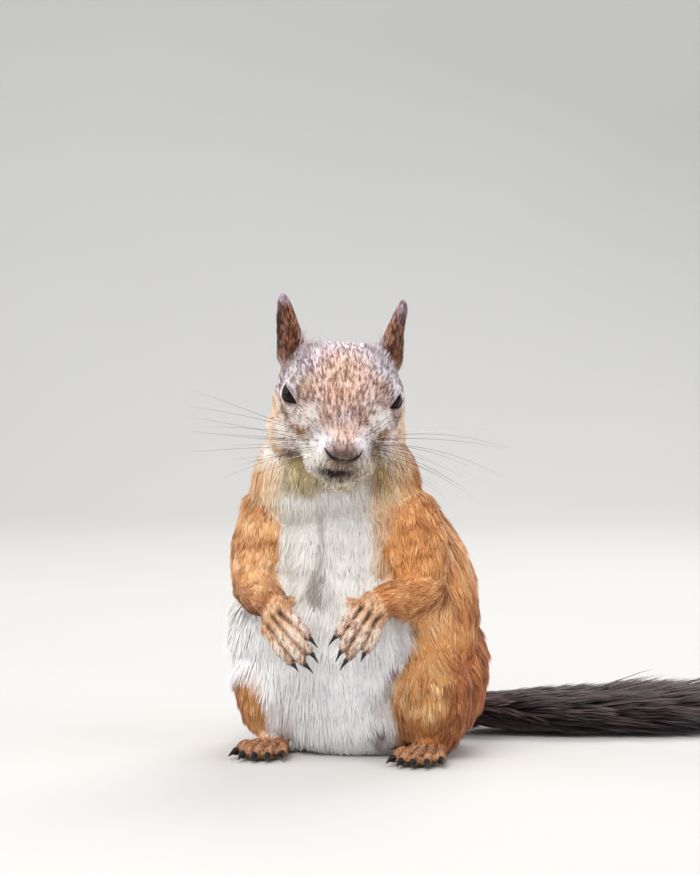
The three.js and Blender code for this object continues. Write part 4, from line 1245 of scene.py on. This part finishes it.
# [length, width, lift in degrees, tufts a square millimetre, share that the tips draw together,
#  how far the shading follows the skin, brightness of the root]
LENGTH, WIDTH, LIFT, DENSITY, DRAWN, SOFT, ROOT = range(7)
FUR = dict(
    torso=(8.5, 0.48, 14, 2.7, 0.36, 0.62, 0.80), neck=(6.5, 0.42, 17, 3.5, 0.30, 0.62, 0.80),
    head=(2.3, 0.22, 25, 10.5, 0.10, 0.5, 0.66), ear=(2.0, 0.22, 28, 9.5, 0.08, 0.46, 0.6),
    upper_arm=(5.4, 0.38, 20, 4.0, 0.38, 0.54, 0.74), forearm=(4.6, 0.32, 25, 5.4, 0.30, 0.52, 0.74),
    hand=(1.9, 0.19, 27, 10.5, 0.14, 0.48, 0.70), thigh=(7.6, 0.44, 15, 3.0, 0.44, 0.56, 0.76),
    shank=(6.0, 0.40, 17, 3.5, 0.38, 0.56, 0.76), foot=(1.9, 0.21, 26, 9.0, 0.12, 0.48, 0.70),
    tail_root=(8.0, 0.46, 20, 2.8, 0.40, 0.45, 0.76), tail_core=(9.0, 0.50, 24, 2.2, 0.30, 0.45, 0.76),
)
# where the shoulder, the side of the belly and the neck stand out, seen from the front:
# [x, z, half width, half height, more length, more lift]
FULLER = [(-35, 104, 9, 9, 0.45, 20), (-40, 47, 9, 12, 0.4, 16), (28, 114, 9, 9, 0.4, 16)]


def fur_of_head(out):
    """Short on the snout and round the eyes, long at the cheeks, under the chin and at the foot of the ears."""
    q = head_of(P)
    s, t, h = q.T
    head = IS["head"]

    def bell(middle, half):
        return np.exp(-(((np.c_[s, np.abs(t), h] - np.array(middle)) / np.array(half)) ** 2).sum(-1)) * head

    snout = head * step(15, 27, s)
    out[:, LENGTH] *= 1 - 0.5 * snout
    out[:, WIDTH] *= 1 - 0.15 * snout
    out[:, DENSITY] *= 1 + 0.5 * snout
    cheek = bell((1, 20, -10), (10, 7, 8))
    out[:, LENGTH] *= 1 + 1.9 * cheek
    out[:, WIDTH] *= 1 + 0.3 * cheek
    out[:, LIFT] += 13 * cheek
    fluff = bell((-5, 13.2, 20.5), (6, 4.6, 6))
    out[:, LENGTH] *= 1 + 2.8 * fluff
    out[:, LIFT] += 40 * fluff
    back = head * (1 - step(-14, -4, s))
    out[:, LENGTH] *= 1 + 0.7 * back
    under = head * (1 - step(-18, -14, h)) * (1 - step(23, 27, s))
    out[:, LENGTH] *= 1 + 1.1 * under
    out[:, LIFT] += 16 * under
    for k in EYES:
        gap, seen = lid_gap(k, P)
        near = (1 - step(0.4, 4.0, gap)) * seen * head
        out[:, LENGTH] *= 1 - 0.62 * near
        out[:, WIDTH] *= 1 - 0.3 * near
        out[:, LIFT] *= 1 - 0.4 * near
        out[:, DENSITY] *= (1 + 0.8 * near) * np.where((gap < 0.45) & seen & head, 0, 1)
    pad = head * np.exp(-(((s - 31.5) / 2.6) ** 2) - (t / 5.5) ** 2 - ((h + 7) / 3.8) ** 2)
    out[:, LENGTH] *= 1 - 0.55 * pad
    out[:, WIDTH] *= 1 - 0.2 * pad
    (nostril, _), _, (mouth, on_mouth) = face_lines(q)
    bare = head * step(17, 22, s)
    ends = step(0.1, 0.3, on_mouth) * step(0.9, 0.7, on_mouth)
    out[:, DENSITY] *= 1 - 0.96 * bare * (1 - step(0.3, 0.8, nostril))
    out[:, DENSITY] *= 1 - 0.96 * bare * (1 - step(0.6, 1.2, mouth)) * ends
    out[:, DENSITY] *= 1 - 0.6 * bare * (1 - step(0.5, 0.9, parted(P)))


def fur_of_underside(out):
    """The white is longer, looser and softer, and hangs over the right shank as a fringe."""
    x, _, z = P.T
    base_blue = MARK[:, 2]  # of the base colour, which tells the white from the rust
    pale = (IS["torso"] | IS["neck"] | IS["thigh"] | IS["shank"]) * step(0.30, 0.62, base_blue)
    out[:, LENGTH] += 1.4 * pale * (1 - step(66, 90, z))
    out[:, WIDTH] *= 1 + 0.3 * pale
    out[:, DRAWN] -= 0.12 * pale
    out[:, SOFT] += (0.92 - out[:, SOFT]) * pale
    out[:, ROOT] += (0.93 - out[:, ROOT]) * pale
    fringe = pale * (x < -8) * step(6, 14, z) * (1 - step(34, 44, z))
    out[:, LENGTH] += 3.0 * fringe
    out[:, LIFT] += 6 * fringe
    trunk = IS["torso"] | IS["neck"] | IS["upper_arm"]
    for mid_x, mid_z, wide, high, longer, rise in FULLER:
        full = trunk * np.exp(-(((x - mid_x) / wide) ** 2) - ((z - mid_z) / high) ** 2)
        out[:, LENGTH] *= 1 + longer * full
        out[:, LIFT] += rise * full


def fur_of_limbs_and_ears(out):
    """Thin between the fingers and on the soles, longer at the wrists and at the foot of the ears."""
    gap, _, along = digits(P, PART, LEFT)
    out[:, DENSITY] *= 1 - 0.9 * gap
    out[:, LENGTH] *= 1 - 0.45 * gap
    out[:, LENGTH] *= 1 + 0.5 * IS["hand"] * (1 - step(0.0, 0.3, along))
    soles = (IS["foot"] & (N[:, 2] < -0.55)) | (IS["hand"] & (P[:, 2] < 50) & (N[:, 1] > 0.3))
    out[soles, DENSITY] *= 0.3
    for k in SIDES:
        f = along_ear(k, P)
        m = IS["ear"] & (LEFT == k)
        out[m, LENGTH] *= (1 + 0.9 * (1 - step(0.05, 0.35, f)) - 0.25 * step(0.8, 1.0, f))[m]


def fields():
    """At every vertex of the skin, what FUR lists."""
    out = np.array([FUR[n] for n in PARTS], float)[PART]
    fur_of_head(out)
    fur_of_underside(out)
    fur_of_limbs_and_ears(out)
    smooth = WEB.soften(out, 3)
    smooth[:, DENSITY] = out[:, DENSITY]
    return smooth


FIELD = fields()
AREA = 0.5 * np.linalg.norm(np.cross(P[TRIS[:, 1]] - P[TRIS[:, 0]], P[TRIS[:, 2]] - P[TRIS[:, 0]]), axis=1)
MIDDLE = P[TRIS].mean(1)
TRI_PART = PART[TRIS[:, 0]]
WANT = AREA * FIELD[:, DENSITY][TRIS].mean(1) * DENSE
WANT = WANT * (MIDDLE[:, 2] > 0.6)  # none under the feet and haunches, where they press the floor
made = []


def nearest_head(root, heads):
    """For each root, the nearest of those that lead a lock."""
    tree = KDTree(len(heads))
    for i, j in enumerate(heads):
        tree.insert(Vector(root[j]), i)
    tree.balance()
    return np.array([heads[tree.find(Vector(v))[1]] for v in root])


def mixed(field, corners, bary):
    """A field's values at places on faces, from those at the faces' corners."""
    return (field[corners] * bary[..., None]).sum(1)


def cover(name, slot, ids):
    """Coats these faces of the skin, in as many pieces as the limit on one piece asks for."""
    total = int(WANT[ids].sum())
    if total > CAP * DENSE:
        mid = MIDDLE[ids]
        axis = np.argmax(mid.max(0) - mid.min(0))
        order = ids[np.argsort(mid[:, axis], kind="stable")]
        half = np.searchsorted(np.cumsum(WANT[order]), total / 2)
        cover(name + "a", slot, np.sort(order[:half]))
        cover(name + "b", slot, np.sort(order[half:]))
        return
    if total < 20:
        return
    rng = np.random.default_rng(1000 + sum(ord(c) * (i + 7) for i, c in enumerate(name)))
    tris = TRIS[ids]
    uv = unwrap(tris)
    face, bary = scatter(tris, WANT[ids], total, rng)
    root, n, way, fur, mark = (mixed(field, tris[face], bary) for field in (P, N, FLOW, FIELD, MARK))
    n = unit(n)
    place = (uv[face] * bary[..., None]).sum(1)
    # the lie wanders a little, and neighbours draw together into locks
    across = np.cross(n, way)
    wander = noise(root, 9, 21) * 0.22 + noise(root, 3.2, 22) * 0.16 + rng.standard_normal(total) * 0.13
    way = unit(way + across * wander[:, None])
    length = fur[:, LENGTH] * rng.uniform(0.72, 1.22, total) * (1 + 0.07 * noise(root, 5, 23))
    width = fur[:, WIDTH] * rng.uniform(0.75, 1.25, total)
    lift = (fur[:, LIFT] * rng.uniform(0.6, 1.4, total) + 4 * noise(root, 4, 24)) * RAD
    spacing = np.clip(length * 0.34, 0.8, 3.2)
    locks = max(1, int(total / np.mean(fur[:, DENSITY] * spacing**2 * 3.0)))
    near = nearest_head(root, rng.choice(total, locks, replace=False))
    tip = root + way * length[:, None]
    pull = (root[near] + way[near] * length[near][:, None] - tip) * fur[:, DRAWN][:, None]
    far = np.linalg.norm(pull, axis=1)
    pull = pull * np.minimum(1, length * 0.4 / np.maximum(far, 1e-6))[:, None]
    vary = 1 - fur[:, SOFT]  # soft coats differ less from lock to lock
    mark[:, 0:9] *= (1 + vary * (0.06 * noise(root, 6, 25) + 0.34 * noise(root[near], 1.1, 26)))[:, None]
    # dark and light hairs run together into dashes
    short = fur[:, LENGTH] < 4
    dash = noise(head_of(root) * [0.62, 2.2, 0.62], 1.0, 27) * short + noise(root[near], 0.9, 28) * ~short
    pick = np.clip(0.5 + np.where(short, 0.7, 0.42) * dash + 0.62 * (rng.random(total) - 0.5), 0, 1)
    sunk = root - n * (0.03 + 0.03 * length)[:, None]
    bend = np.full(total, 0.55)
    made.append(grow(f"coat_{name}", slot, sunk, n, way, length, width, np.maximum(lift, 0.04), bend,
                     fur[:, SOFT], fur[:, ROOT], mark, place, rng, pull=pull, pick=pick))


GROUPS = [
    ("face", "fur_face", IS["head"]),
    ("ears", "fur_ear", IS["ear"]),
    ("neck", "fur_white", IS["neck"]),
    ("body", "fur_white", IS["torso"]),
    ("arms", "fur_rust", IS["upper_arm"] | IS["forearm"]),
    ("hands", "fur_rust", IS["hand"]),
    ("haunches", "fur_rust", IS["thigh"] | IS["shank"]),
    ("feet", "fur_rust", IS["foot"]),
    ("tailroot", "fur_tail", IS["tail_root"] | IS["tail_core"]),
]
for part_index, part_name in enumerate(PARTS):
    print("tufts on", part_name, int(WANT[TRI_PART == part_index].sum()))
for title, slot_name, verts_in in GROUPS:
    cover(title, slot_name, np.nonzero(verts_in[TRIS[:, 0]])[0])


# ---------------------------------------------------------------- the brush of the tail
def brush():
    """The long locks of the tail, in two pieces."""
    rng = np.random.default_rng(77)
    ids = np.nonzero(TRI_PART == PARTS.index("tail_core"))[0]
    tris = TRIS[ids]
    uv = unwrap(tris)
    count = int(11000 * DENSE)
    face, bary = scatter(tris, AREA[ids], count, rng)
    root, n, mark = (mixed(field, tris[face], bary) for field in (P, N, MARK))
    n = unit(n)
    place = (uv[face] * bary[..., None]).sum(1)
    f = tail_share(root)
    at, t, u, up = tail_at(f)
    d = root - at
    c = dot(d, u) / (core_wide(f) * CORE_FULL)
    v = dot(d, up) / (core_high(f) * CORE_FULL)
    side = np.abs(c) / np.maximum(np.hypot(c, v), 1e-6)
    full = np.minimum(1, 0.34 + 2.1 * (f - TAIL["root_end"]))
    length = (TAIL["top"] + (TAIL["side"] - TAIL["top"]) * side) * np.clip(full, 0.2, 1)
    length = length * rng.uniform(0.68, 1.04, count) * (1 + 0.08 * noise(root, 7, 31))
    lean = TAIL["lean_top"] + (TAIL["lean_side"] - TAIL["lean_top"]) * side**2
    lean = lean * (1 - 0.4 * np.maximum(0, f - 0.6)) * RAD
    lean = lean + rng.standard_normal(count) * 0.10 + 0.12 * noise(root, 8, 32)
    out = unit(u * c[:, None] + up * (v * 0.5)[:, None])
    way = t * np.cos(lean)[:, None] + out * np.sin(lean)[:, None]
    # keep each tuft's flat side up, and lay those underneath along the floor
    flat = unit(up * np.where(v > -0.2, 1, -1)[:, None] + out * 0.3)
    dip = np.clip((root[:, 2] - 1.2) / length, 0.0, 0.5)
    way[:, 2] = np.maximum(way[:, 2], -dip)
    way = unit(way)
    flat = unit(flat - way * dot(flat, way)[:, None])
    near = nearest_head(root, rng.choice(count, int(count / 26), replace=False))
    tip = root + way * length[:, None]
    pull = (root[near] + way[near] * length[near][:, None] - tip) * 0.45
    pull = pull - out * (length * 0.12)[:, None] + t * (length * 0.1)[:, None]
    mark[:, 0:9] *= (1 + 0.18 * noise(root[near], 1.3, 35))[:, None]
    width = rng.uniform(0.6, 1.0, count)
    level = np.zeros(count)
    for i in range(2):
        m = np.arange(count) % 2 == i
        made.append(grow(f"coat_brush_{i + 1}", "fur_tail", (root - n * 0.3)[m], flat[m], way[m], length[m],
                         width[m], level[m] + 0.02, level[m], level[m] + 0.3, level[m] + 0.8, mark[m], place[m],
                         rng, rings=3, thick=0.3, pull=pull[m]))
    return made[-2:]


brushes = brush()

# ---------------------------------------------------------------- the skin itself
skin_map = (("OFBake", unwrap(TRIS).reshape(-1, 2)),)
skin = make("skin", P, *faces_of(TRIS), SKIN, MARK[:, 0:3].copy(), None, skin_map, "fur_rust")
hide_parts(*FLESH)
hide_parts("tail_brush")


# ---------------------------------------------------------------- eyes
def iris_colour(off):
    """The ball's colour by the angle from the middle of its front: pupil, dark brown iris, dark rim."""
    colour = np.tile(lin((24, 15, 11)), (len(off), 1))
    colour += (lin((34, 22, 15)) - colour) * np.exp(-((off - 40) / 9) ** 2)[:, None]
    colour += (lin((8, 6, 6)) - colour) * (1 - step(20, 26, off))[:, None]
    colour += (lin((12, 9, 9)) - colour) * step(46, 54, off)[:, None]
    return colour


def eyeball(k, rings=40, around=56):
    c, g, e1, e2 = EYES[k]
    th = np.linspace(0, math.pi, rings + 1)[1:-1]
    ph = np.linspace(0, 2 * math.pi, around, endpoint=False)
    grid = [np.stack([np.cos(t) + 0 * ph, np.sin(t) * np.cos(ph), np.sin(t) * np.sin(ph)], -1) for t in th]
    v = np.concatenate([[[1.0, 0, 0]]] + grid + [[[-1.0, 0, 0]]])
    bulge = 1 + 0.03 * np.exp(-((1 - v[:, 0]) / 0.22) ** 2)  # the clear front bulges a little
    p = c + EYE["r"] * bulge[:, None] * (v[:, :1] * g + v[:, 1:2] * e1 + v[:, 2:] * e2)
    last = 1 + (rings - 2) * around
    ends = []
    for j in range(around):
        ends.append([0, 1 + j, 1 + (j + 1) % around])
        ends.append([last + (j + 1) % around, last + j, last + around])
    ends = np.array(ends)
    quads = tube_quads(rings - 1, around)[:, [0, 3, 2, 1]] + 1
    if dot(np.cross(e1, e2), g) < 0:
        ends, quads = ends[:, ::-1], quads[:, ::-1]
    loops = np.concatenate([quads.ravel(), ends.ravel()])
    starts = np.concatenate([np.arange(len(quads)) * 4, len(quads) * 4 + np.arange(len(ends)) * 3])
    colour = iris_colour(np.arccos(np.clip(v[:, 0], -1, 1)) / RAD)
    name = "eye_left" if k > 0 else "eye_right"
    ob = make(name + "_ball", p, loops, starts, EYE_LOOK, colour, None, (), "eye_dark")
    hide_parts(name)


for k in SIDES:
    eyeball(k)


# ---------------------------------------------------------------- claws, smoothed from the solids
HORN_ROOT, HORN, HORN_TIP = lin((52, 42, 40)), lin((18, 15, 16)), lin((84, 74, 68))


def paw_middle(name):
    """The middle of the hand or foot that a claw is on."""
    lo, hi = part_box("_".join(name.split("_")[1:3]))
    return from_frame(np.array((lo + hi) / 2))


def smooth_claw(name):
    """A claw's solid made rounder: points and triangles."""
    b = bmesh.new()
    b.from_mesh(NODES[name].data)
    bmesh.ops.remove_doubles(b, verts=b.verts, dist=WELD)
    bmesh.ops.subdivide_edges(b, edges=b.edges, cuts=1, smooth=0.6, use_grid_fill=True)
    bmesh.ops.smooth_vert(b, verts=b.verts, factor=0.35, use_axis_x=True, use_axis_y=True, use_axis_z=True)
    bmesh.ops.subdivide_edges(b, edges=b.edges, cuts=1, smooth=0.5, use_grid_fill=True)
    bmesh.ops.triangulate(b, faces=b.faces)
    b.verts.index_update()
    verts = from_frame(np.array([w.co[:] for w in b.verts]))
    tris = np.array([[w.index for w in f.verts] for f in b.faces])
    b.free()
    return verts, tris


def horn_colour(name, v):
    """Dark, browner at the root and paler at the tip."""
    axis = v - v.mean(0)
    _, _, vt = np.linalg.svd(axis, full_matrices=False)
    a = axis @ vt[0]
    home = paw_middle(name)
    if np.linalg.norm(v[a.argmin()] - home) > np.linalg.norm(v[a.argmax()] - home):
        a = -a
    f = (a - a.min()) / (a.max() - a.min())
    colour = HORN_ROOT + (HORN - HORN_ROOT) * step(0.0, 0.35, f)[:, None]
    return colour + (HORN_TIP - colour) * step(0.75, 1.0, f)[:, None] * 0.5


for group in ("hand_left", "hand_right", "foot_left", "foot_right"):
    names = sorted(n for n in NODES if n.startswith("claw_" + group))
    verts, tris, cols, base = [], [], [], 0
    for n in names:
        v, f = smooth_claw(n)
        verts.append(v)
        tris.append(f + base)
        cols.append(horn_colour(n, v))
        base += len(v)
    ob = make("claws_" + group, np.concatenate(verts), *faces_of(np.concatenate(tris)), CLAW,
              np.concatenate(cols), None, (), "claw_horn")
    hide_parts(*names)


# ---------------------------------------------------------------- whiskers and the other single hairs
def hair(lines, name):
    """Thin round hairs along lines of points, tapering to the tip."""
    verts, quads, cols, base = [], [], [], 0
    for pts, r, colour in lines:
        t = unit(np.gradient(pts, axis=0))
        a = unit(np.cross(t, [0.13, 0.2, 0.97]))
        b = np.cross(t, a)
        f = np.linspace(0, 1, len(pts))
        rad = r * (1 - 0.85 * f**1.5)
        ring = np.stack([a * math.cos(g) + b * math.sin(g) for g in np.arange(4) * math.pi / 2], 1)
        v = pts[:, None] + ring * rad[:, None, None]
        verts.append(v.reshape(-1, 3))
        count = v.shape[0] * 4
        quads += (tube_quads(len(pts), 4) + base).tolist()
        quads += [[base + 3, base + 2, base + 1, base], [base + count - 4 + j for j in range(4)]]
        cols.append(np.repeat(colour[None], count, 0))
        base += count
    return make(name, np.concatenate(verts), *faces_of(quads), HAIR, np.concatenate(cols), None, (), "fur_face")


def cut_to_room(lines):
    """The hairs, ended inside the room that the dressed part may take round the solids."""
    box = from_frame(np.array(cad_box))
    room = (box[1] - box[0]) * 0.03 + 9.0
    kept = []
    for pts, r, c in lines:
        inside = ((pts > box[0] - room) & (pts < box[1] + room)).all(1)
        last = len(pts) if inside.all() else int(np.argmin(inside))
        if last > 4:
            kept.append((pts[:last], r, c))
    return kept


def whiskers():
    rng = np.random.default_rng(5)
    tree = BVHTree.FromPolygons([Vector(v) for v in to_frame(P)], TRIS.tolist())
    lines = []
    dark, white = lin((48, 38, 36)), lin((214, 204, 202))

    def single(s, t, h, way, sag, length, radius, colour):
        """One hair from the skin nearest to this place on the head."""
        hit, n = (np.array(v) for v in tree.find_nearest(Vector(to_frame(on_head(s, t, h))))[:2])
        f = np.linspace(0, 1, 12)[:, None]
        line = from_frame(hit) - n * 0.4 + unit(way) * length * f + sag * length * f**2 * 0.5
        lines.append((line, radius, colour))

    for k in SIDES:
        droop = -0.42 if k > 0 else -0.1
        for row, col in WHISKER_ROWS:
            s, t, h = whisker_root(row, col)
            length = (22 + 7.5 * col) * rng.uniform(0.85, 1.2) * (1.0 if row < 3 else 0.8)
            rise = 0.14 - 0.15 * row + 0.07 * rng.standard_normal()
            way = SIDE * k + SNOUT * (0.2 - 0.17 * col) + UP * rise
            sag = np.array([0.06 * k, 0.3, droop + 0.1 * rng.standard_normal()])
            colour = dark if rng.random() < 0.7 else white
            s, h = s + rng.uniform(-0.4, 0.4), h + rng.uniform(-0.3, 0.3)
            single(s, t * k, h, way, sag, length, 0.075, colour)
        for i in range(2):  # beside the bridge, rising outwards
            way = SIDE * k * 0.8 + UP * (0.55 + 0.16 * i)
            sag = np.array([0, 0.25, 0.1])
            single(23.5 - 1.6 * i, (7.4 + i) * k, -2.6 + 1.2 * i, way, sag, 15 + 2 * i, 0.09, dark)
        for i in range(5):  # over the eye
            way = SIDE * k * 0.35 + UP * 0.8 + SNOUT * 0.1 + 0.12 * rng.standard_normal(3)
            sag = np.array([0, 0.45, 0.05])
            single(8 + 1.7 * i, (16.5 - 0.9 * i) * k, 13, way, sag, rng.uniform(7, 14), 0.07, dark)
        for i in range(4):  # by the corner of the cheek
            way = SIDE * k + UP * rng.uniform(-0.45, 0.35) + 0.1 * rng.standard_normal(3)
            single(6, 20 * k, -4 - 3 * i, way, np.array([0, 0.3, -0.25]), rng.uniform(13, 24), 0.06, white)
        for i in range(9):  # pale wisps from the upper lip beside the mouth
            way = np.array([(0.15 + 0.08 * i) * k, -0.45, -1]) + 0.2 * rng.standard_normal(3)
            sag = np.array([0.1 * k, 0.5, -0.1])
            single(28.6, (3.6 + 0.75 * i) * k, -12.6 + 0.1 * i, way, sag, rng.uniform(1.8, 3.8), 0.06, white)
        for _ in range(60):  # loose down at the inner foot of the ear
            way = UP + SNOUT * rng.uniform(-0.1, 0.5) + SIDE * k * rng.uniform(-0.55, 0.25)
            single(-6 + rng.uniform(-5, 4), (12.6 + rng.uniform(-3.4, 3.2)) * k, 21, way,
                   0.25 * rng.standard_normal(3), rng.uniform(3.4, 7.0), 0.08, white)
    for _ in range(16):  # chin and lower lip
        way = np.array([rng.uniform(-0.5, 0.5), -0.35, -1.0])
        single(24 - rng.uniform(0, 4), rng.uniform(-8, 6), -20.5, way,
               np.array([0, 0.3, -0.1]), rng.uniform(4, 8), 0.06, white)
    hair(cut_to_room(lines), "whiskers")


whiskers()


# ---------------------------------------------------------------- stage, light and camera
def stage():
    arc = [(math.sin(a) * 0.5, 0.5 - math.cos(a) * 0.5) for a in np.linspace(0, math.pi / 2, 14)]
    line = [(-2.5, 0.0), (0.9, 0.0)] + [(0.9 + y, z) for y, z in arc[1:]] + [(1.4, 2.6)]
    verts, faces = [], []
    for y, z in line:
        verts += [(-3.2, y, z), (3.2, y, z)]
    for i in range(len(line) - 1):
        faces.append((2 * i, 2 * i + 1, 2 * i + 3, 2 * i + 2))
    me = bpy.data.meshes.new("backdrop")
    me.from_pydata(verts, [], faces)
    for f in me.polygons:
        f.use_smooth = True
    m, t, b = node_tree("Backdrop")
    where = add(t, "ShaderNodeTexCoord").outputs["Object"]
    n = add(t, "ShaderNodeTexNoise", Scale=5.0, Detail=2.0)
    t.links.new(where, n.inputs["Vector"])
    c = add(t, "ShaderNodeRGB")
    c.outputs[0].default_value = (0.60, 0.59, 0.57, 1)
    t.links.new(times(t, c.outputs[0], ramp(t, n.outputs["Fac"], 0.97, 1.03)), b.inputs["Base Color"])
    b.inputs["Roughness"].default_value = 0.9
    me.materials.append(m)
    ob = bpy.data.objects.new("backdrop", me)
    bpy.context.scene.collection.objects.link(ob)


def lamp(name, place, aim, size, power, colour):
    data = bpy.data.lights.new(name, "AREA")
    data.shape = "RECTANGLE"
    data.size, data.size_y = size
    data.energy = power
    data.color = colour
    ob = bpy.data.objects.new(name, data)
    ob.location = Vector(place)
    ob.rotation_euler = (Vector(aim) - Vector(place)).to_track_quat("-Z", "Y").to_euler()
    bpy.context.scene.collection.objects.link(ob)


stage()
mid = to_frame([2, -10, 90])
lamp("key", (mid[0] - 0.35, mid[1] - 0.75, 1.05), mid, (0.9, 0.7), 13.0, (1.0, 0.97, 0.93))
lamp("fill", (mid[0] + 0.9, mid[1] - 0.5, 0.45), mid, (0.7, 0.7), 3.4, (0.95, 0.96, 1.0))
lamp("rim", (mid[0] + 0.3, mid[1] + 0.75, 0.85), mid, (0.7, 0.5), 7.0, (1.0, 0.98, 0.95))
lamp("side", (mid[0] - 0.95, mid[1] + 0.1, 0.45), mid, (0.6, 0.7), 3.0, (1.0, 0.98, 0.95))
world = bpy.data.worlds.new("Studio")
world.use_nodes = True
world.node_tree.nodes["Background"].inputs[0].default_value = (0.80, 0.84, 0.90, 1)
world.node_tree.nodes["Background"].inputs[1].default_value = 0.74
bpy.context.scene.world = world
bpy.context.scene.view_settings.view_transform = "Standard"

VIEW = dict(target=(1.82, -20.0, 118.1), up=4.0 * RAD, away=1300.0, lens=146.9)
cam_data = bpy.data.cameras.new("camera")
cam_data.lens = VIEW["lens"]
cam_data.sensor_width = 36.0
cam_data.clip_start, cam_data.clip_end = 0.05, 20.0
cam = bpy.data.objects.new("camera", cam_data)
target = Vector(to_frame(VIEW["target"]))
cam.location = target + Vector((0, -math.cos(VIEW["up"]), math.sin(VIEW["up"]))) * VIEW["away"] / 1000
cam.rotation_euler = (target - cam.location).to_track_quat("-Z", "Y").to_euler()
bpy.context.scene.collection.objects.link(cam)
bpy.context.scene.camera = cam

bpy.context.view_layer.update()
print("coat pieces", len(made), "faces", sum(len(o.data.polygons) for o in made))
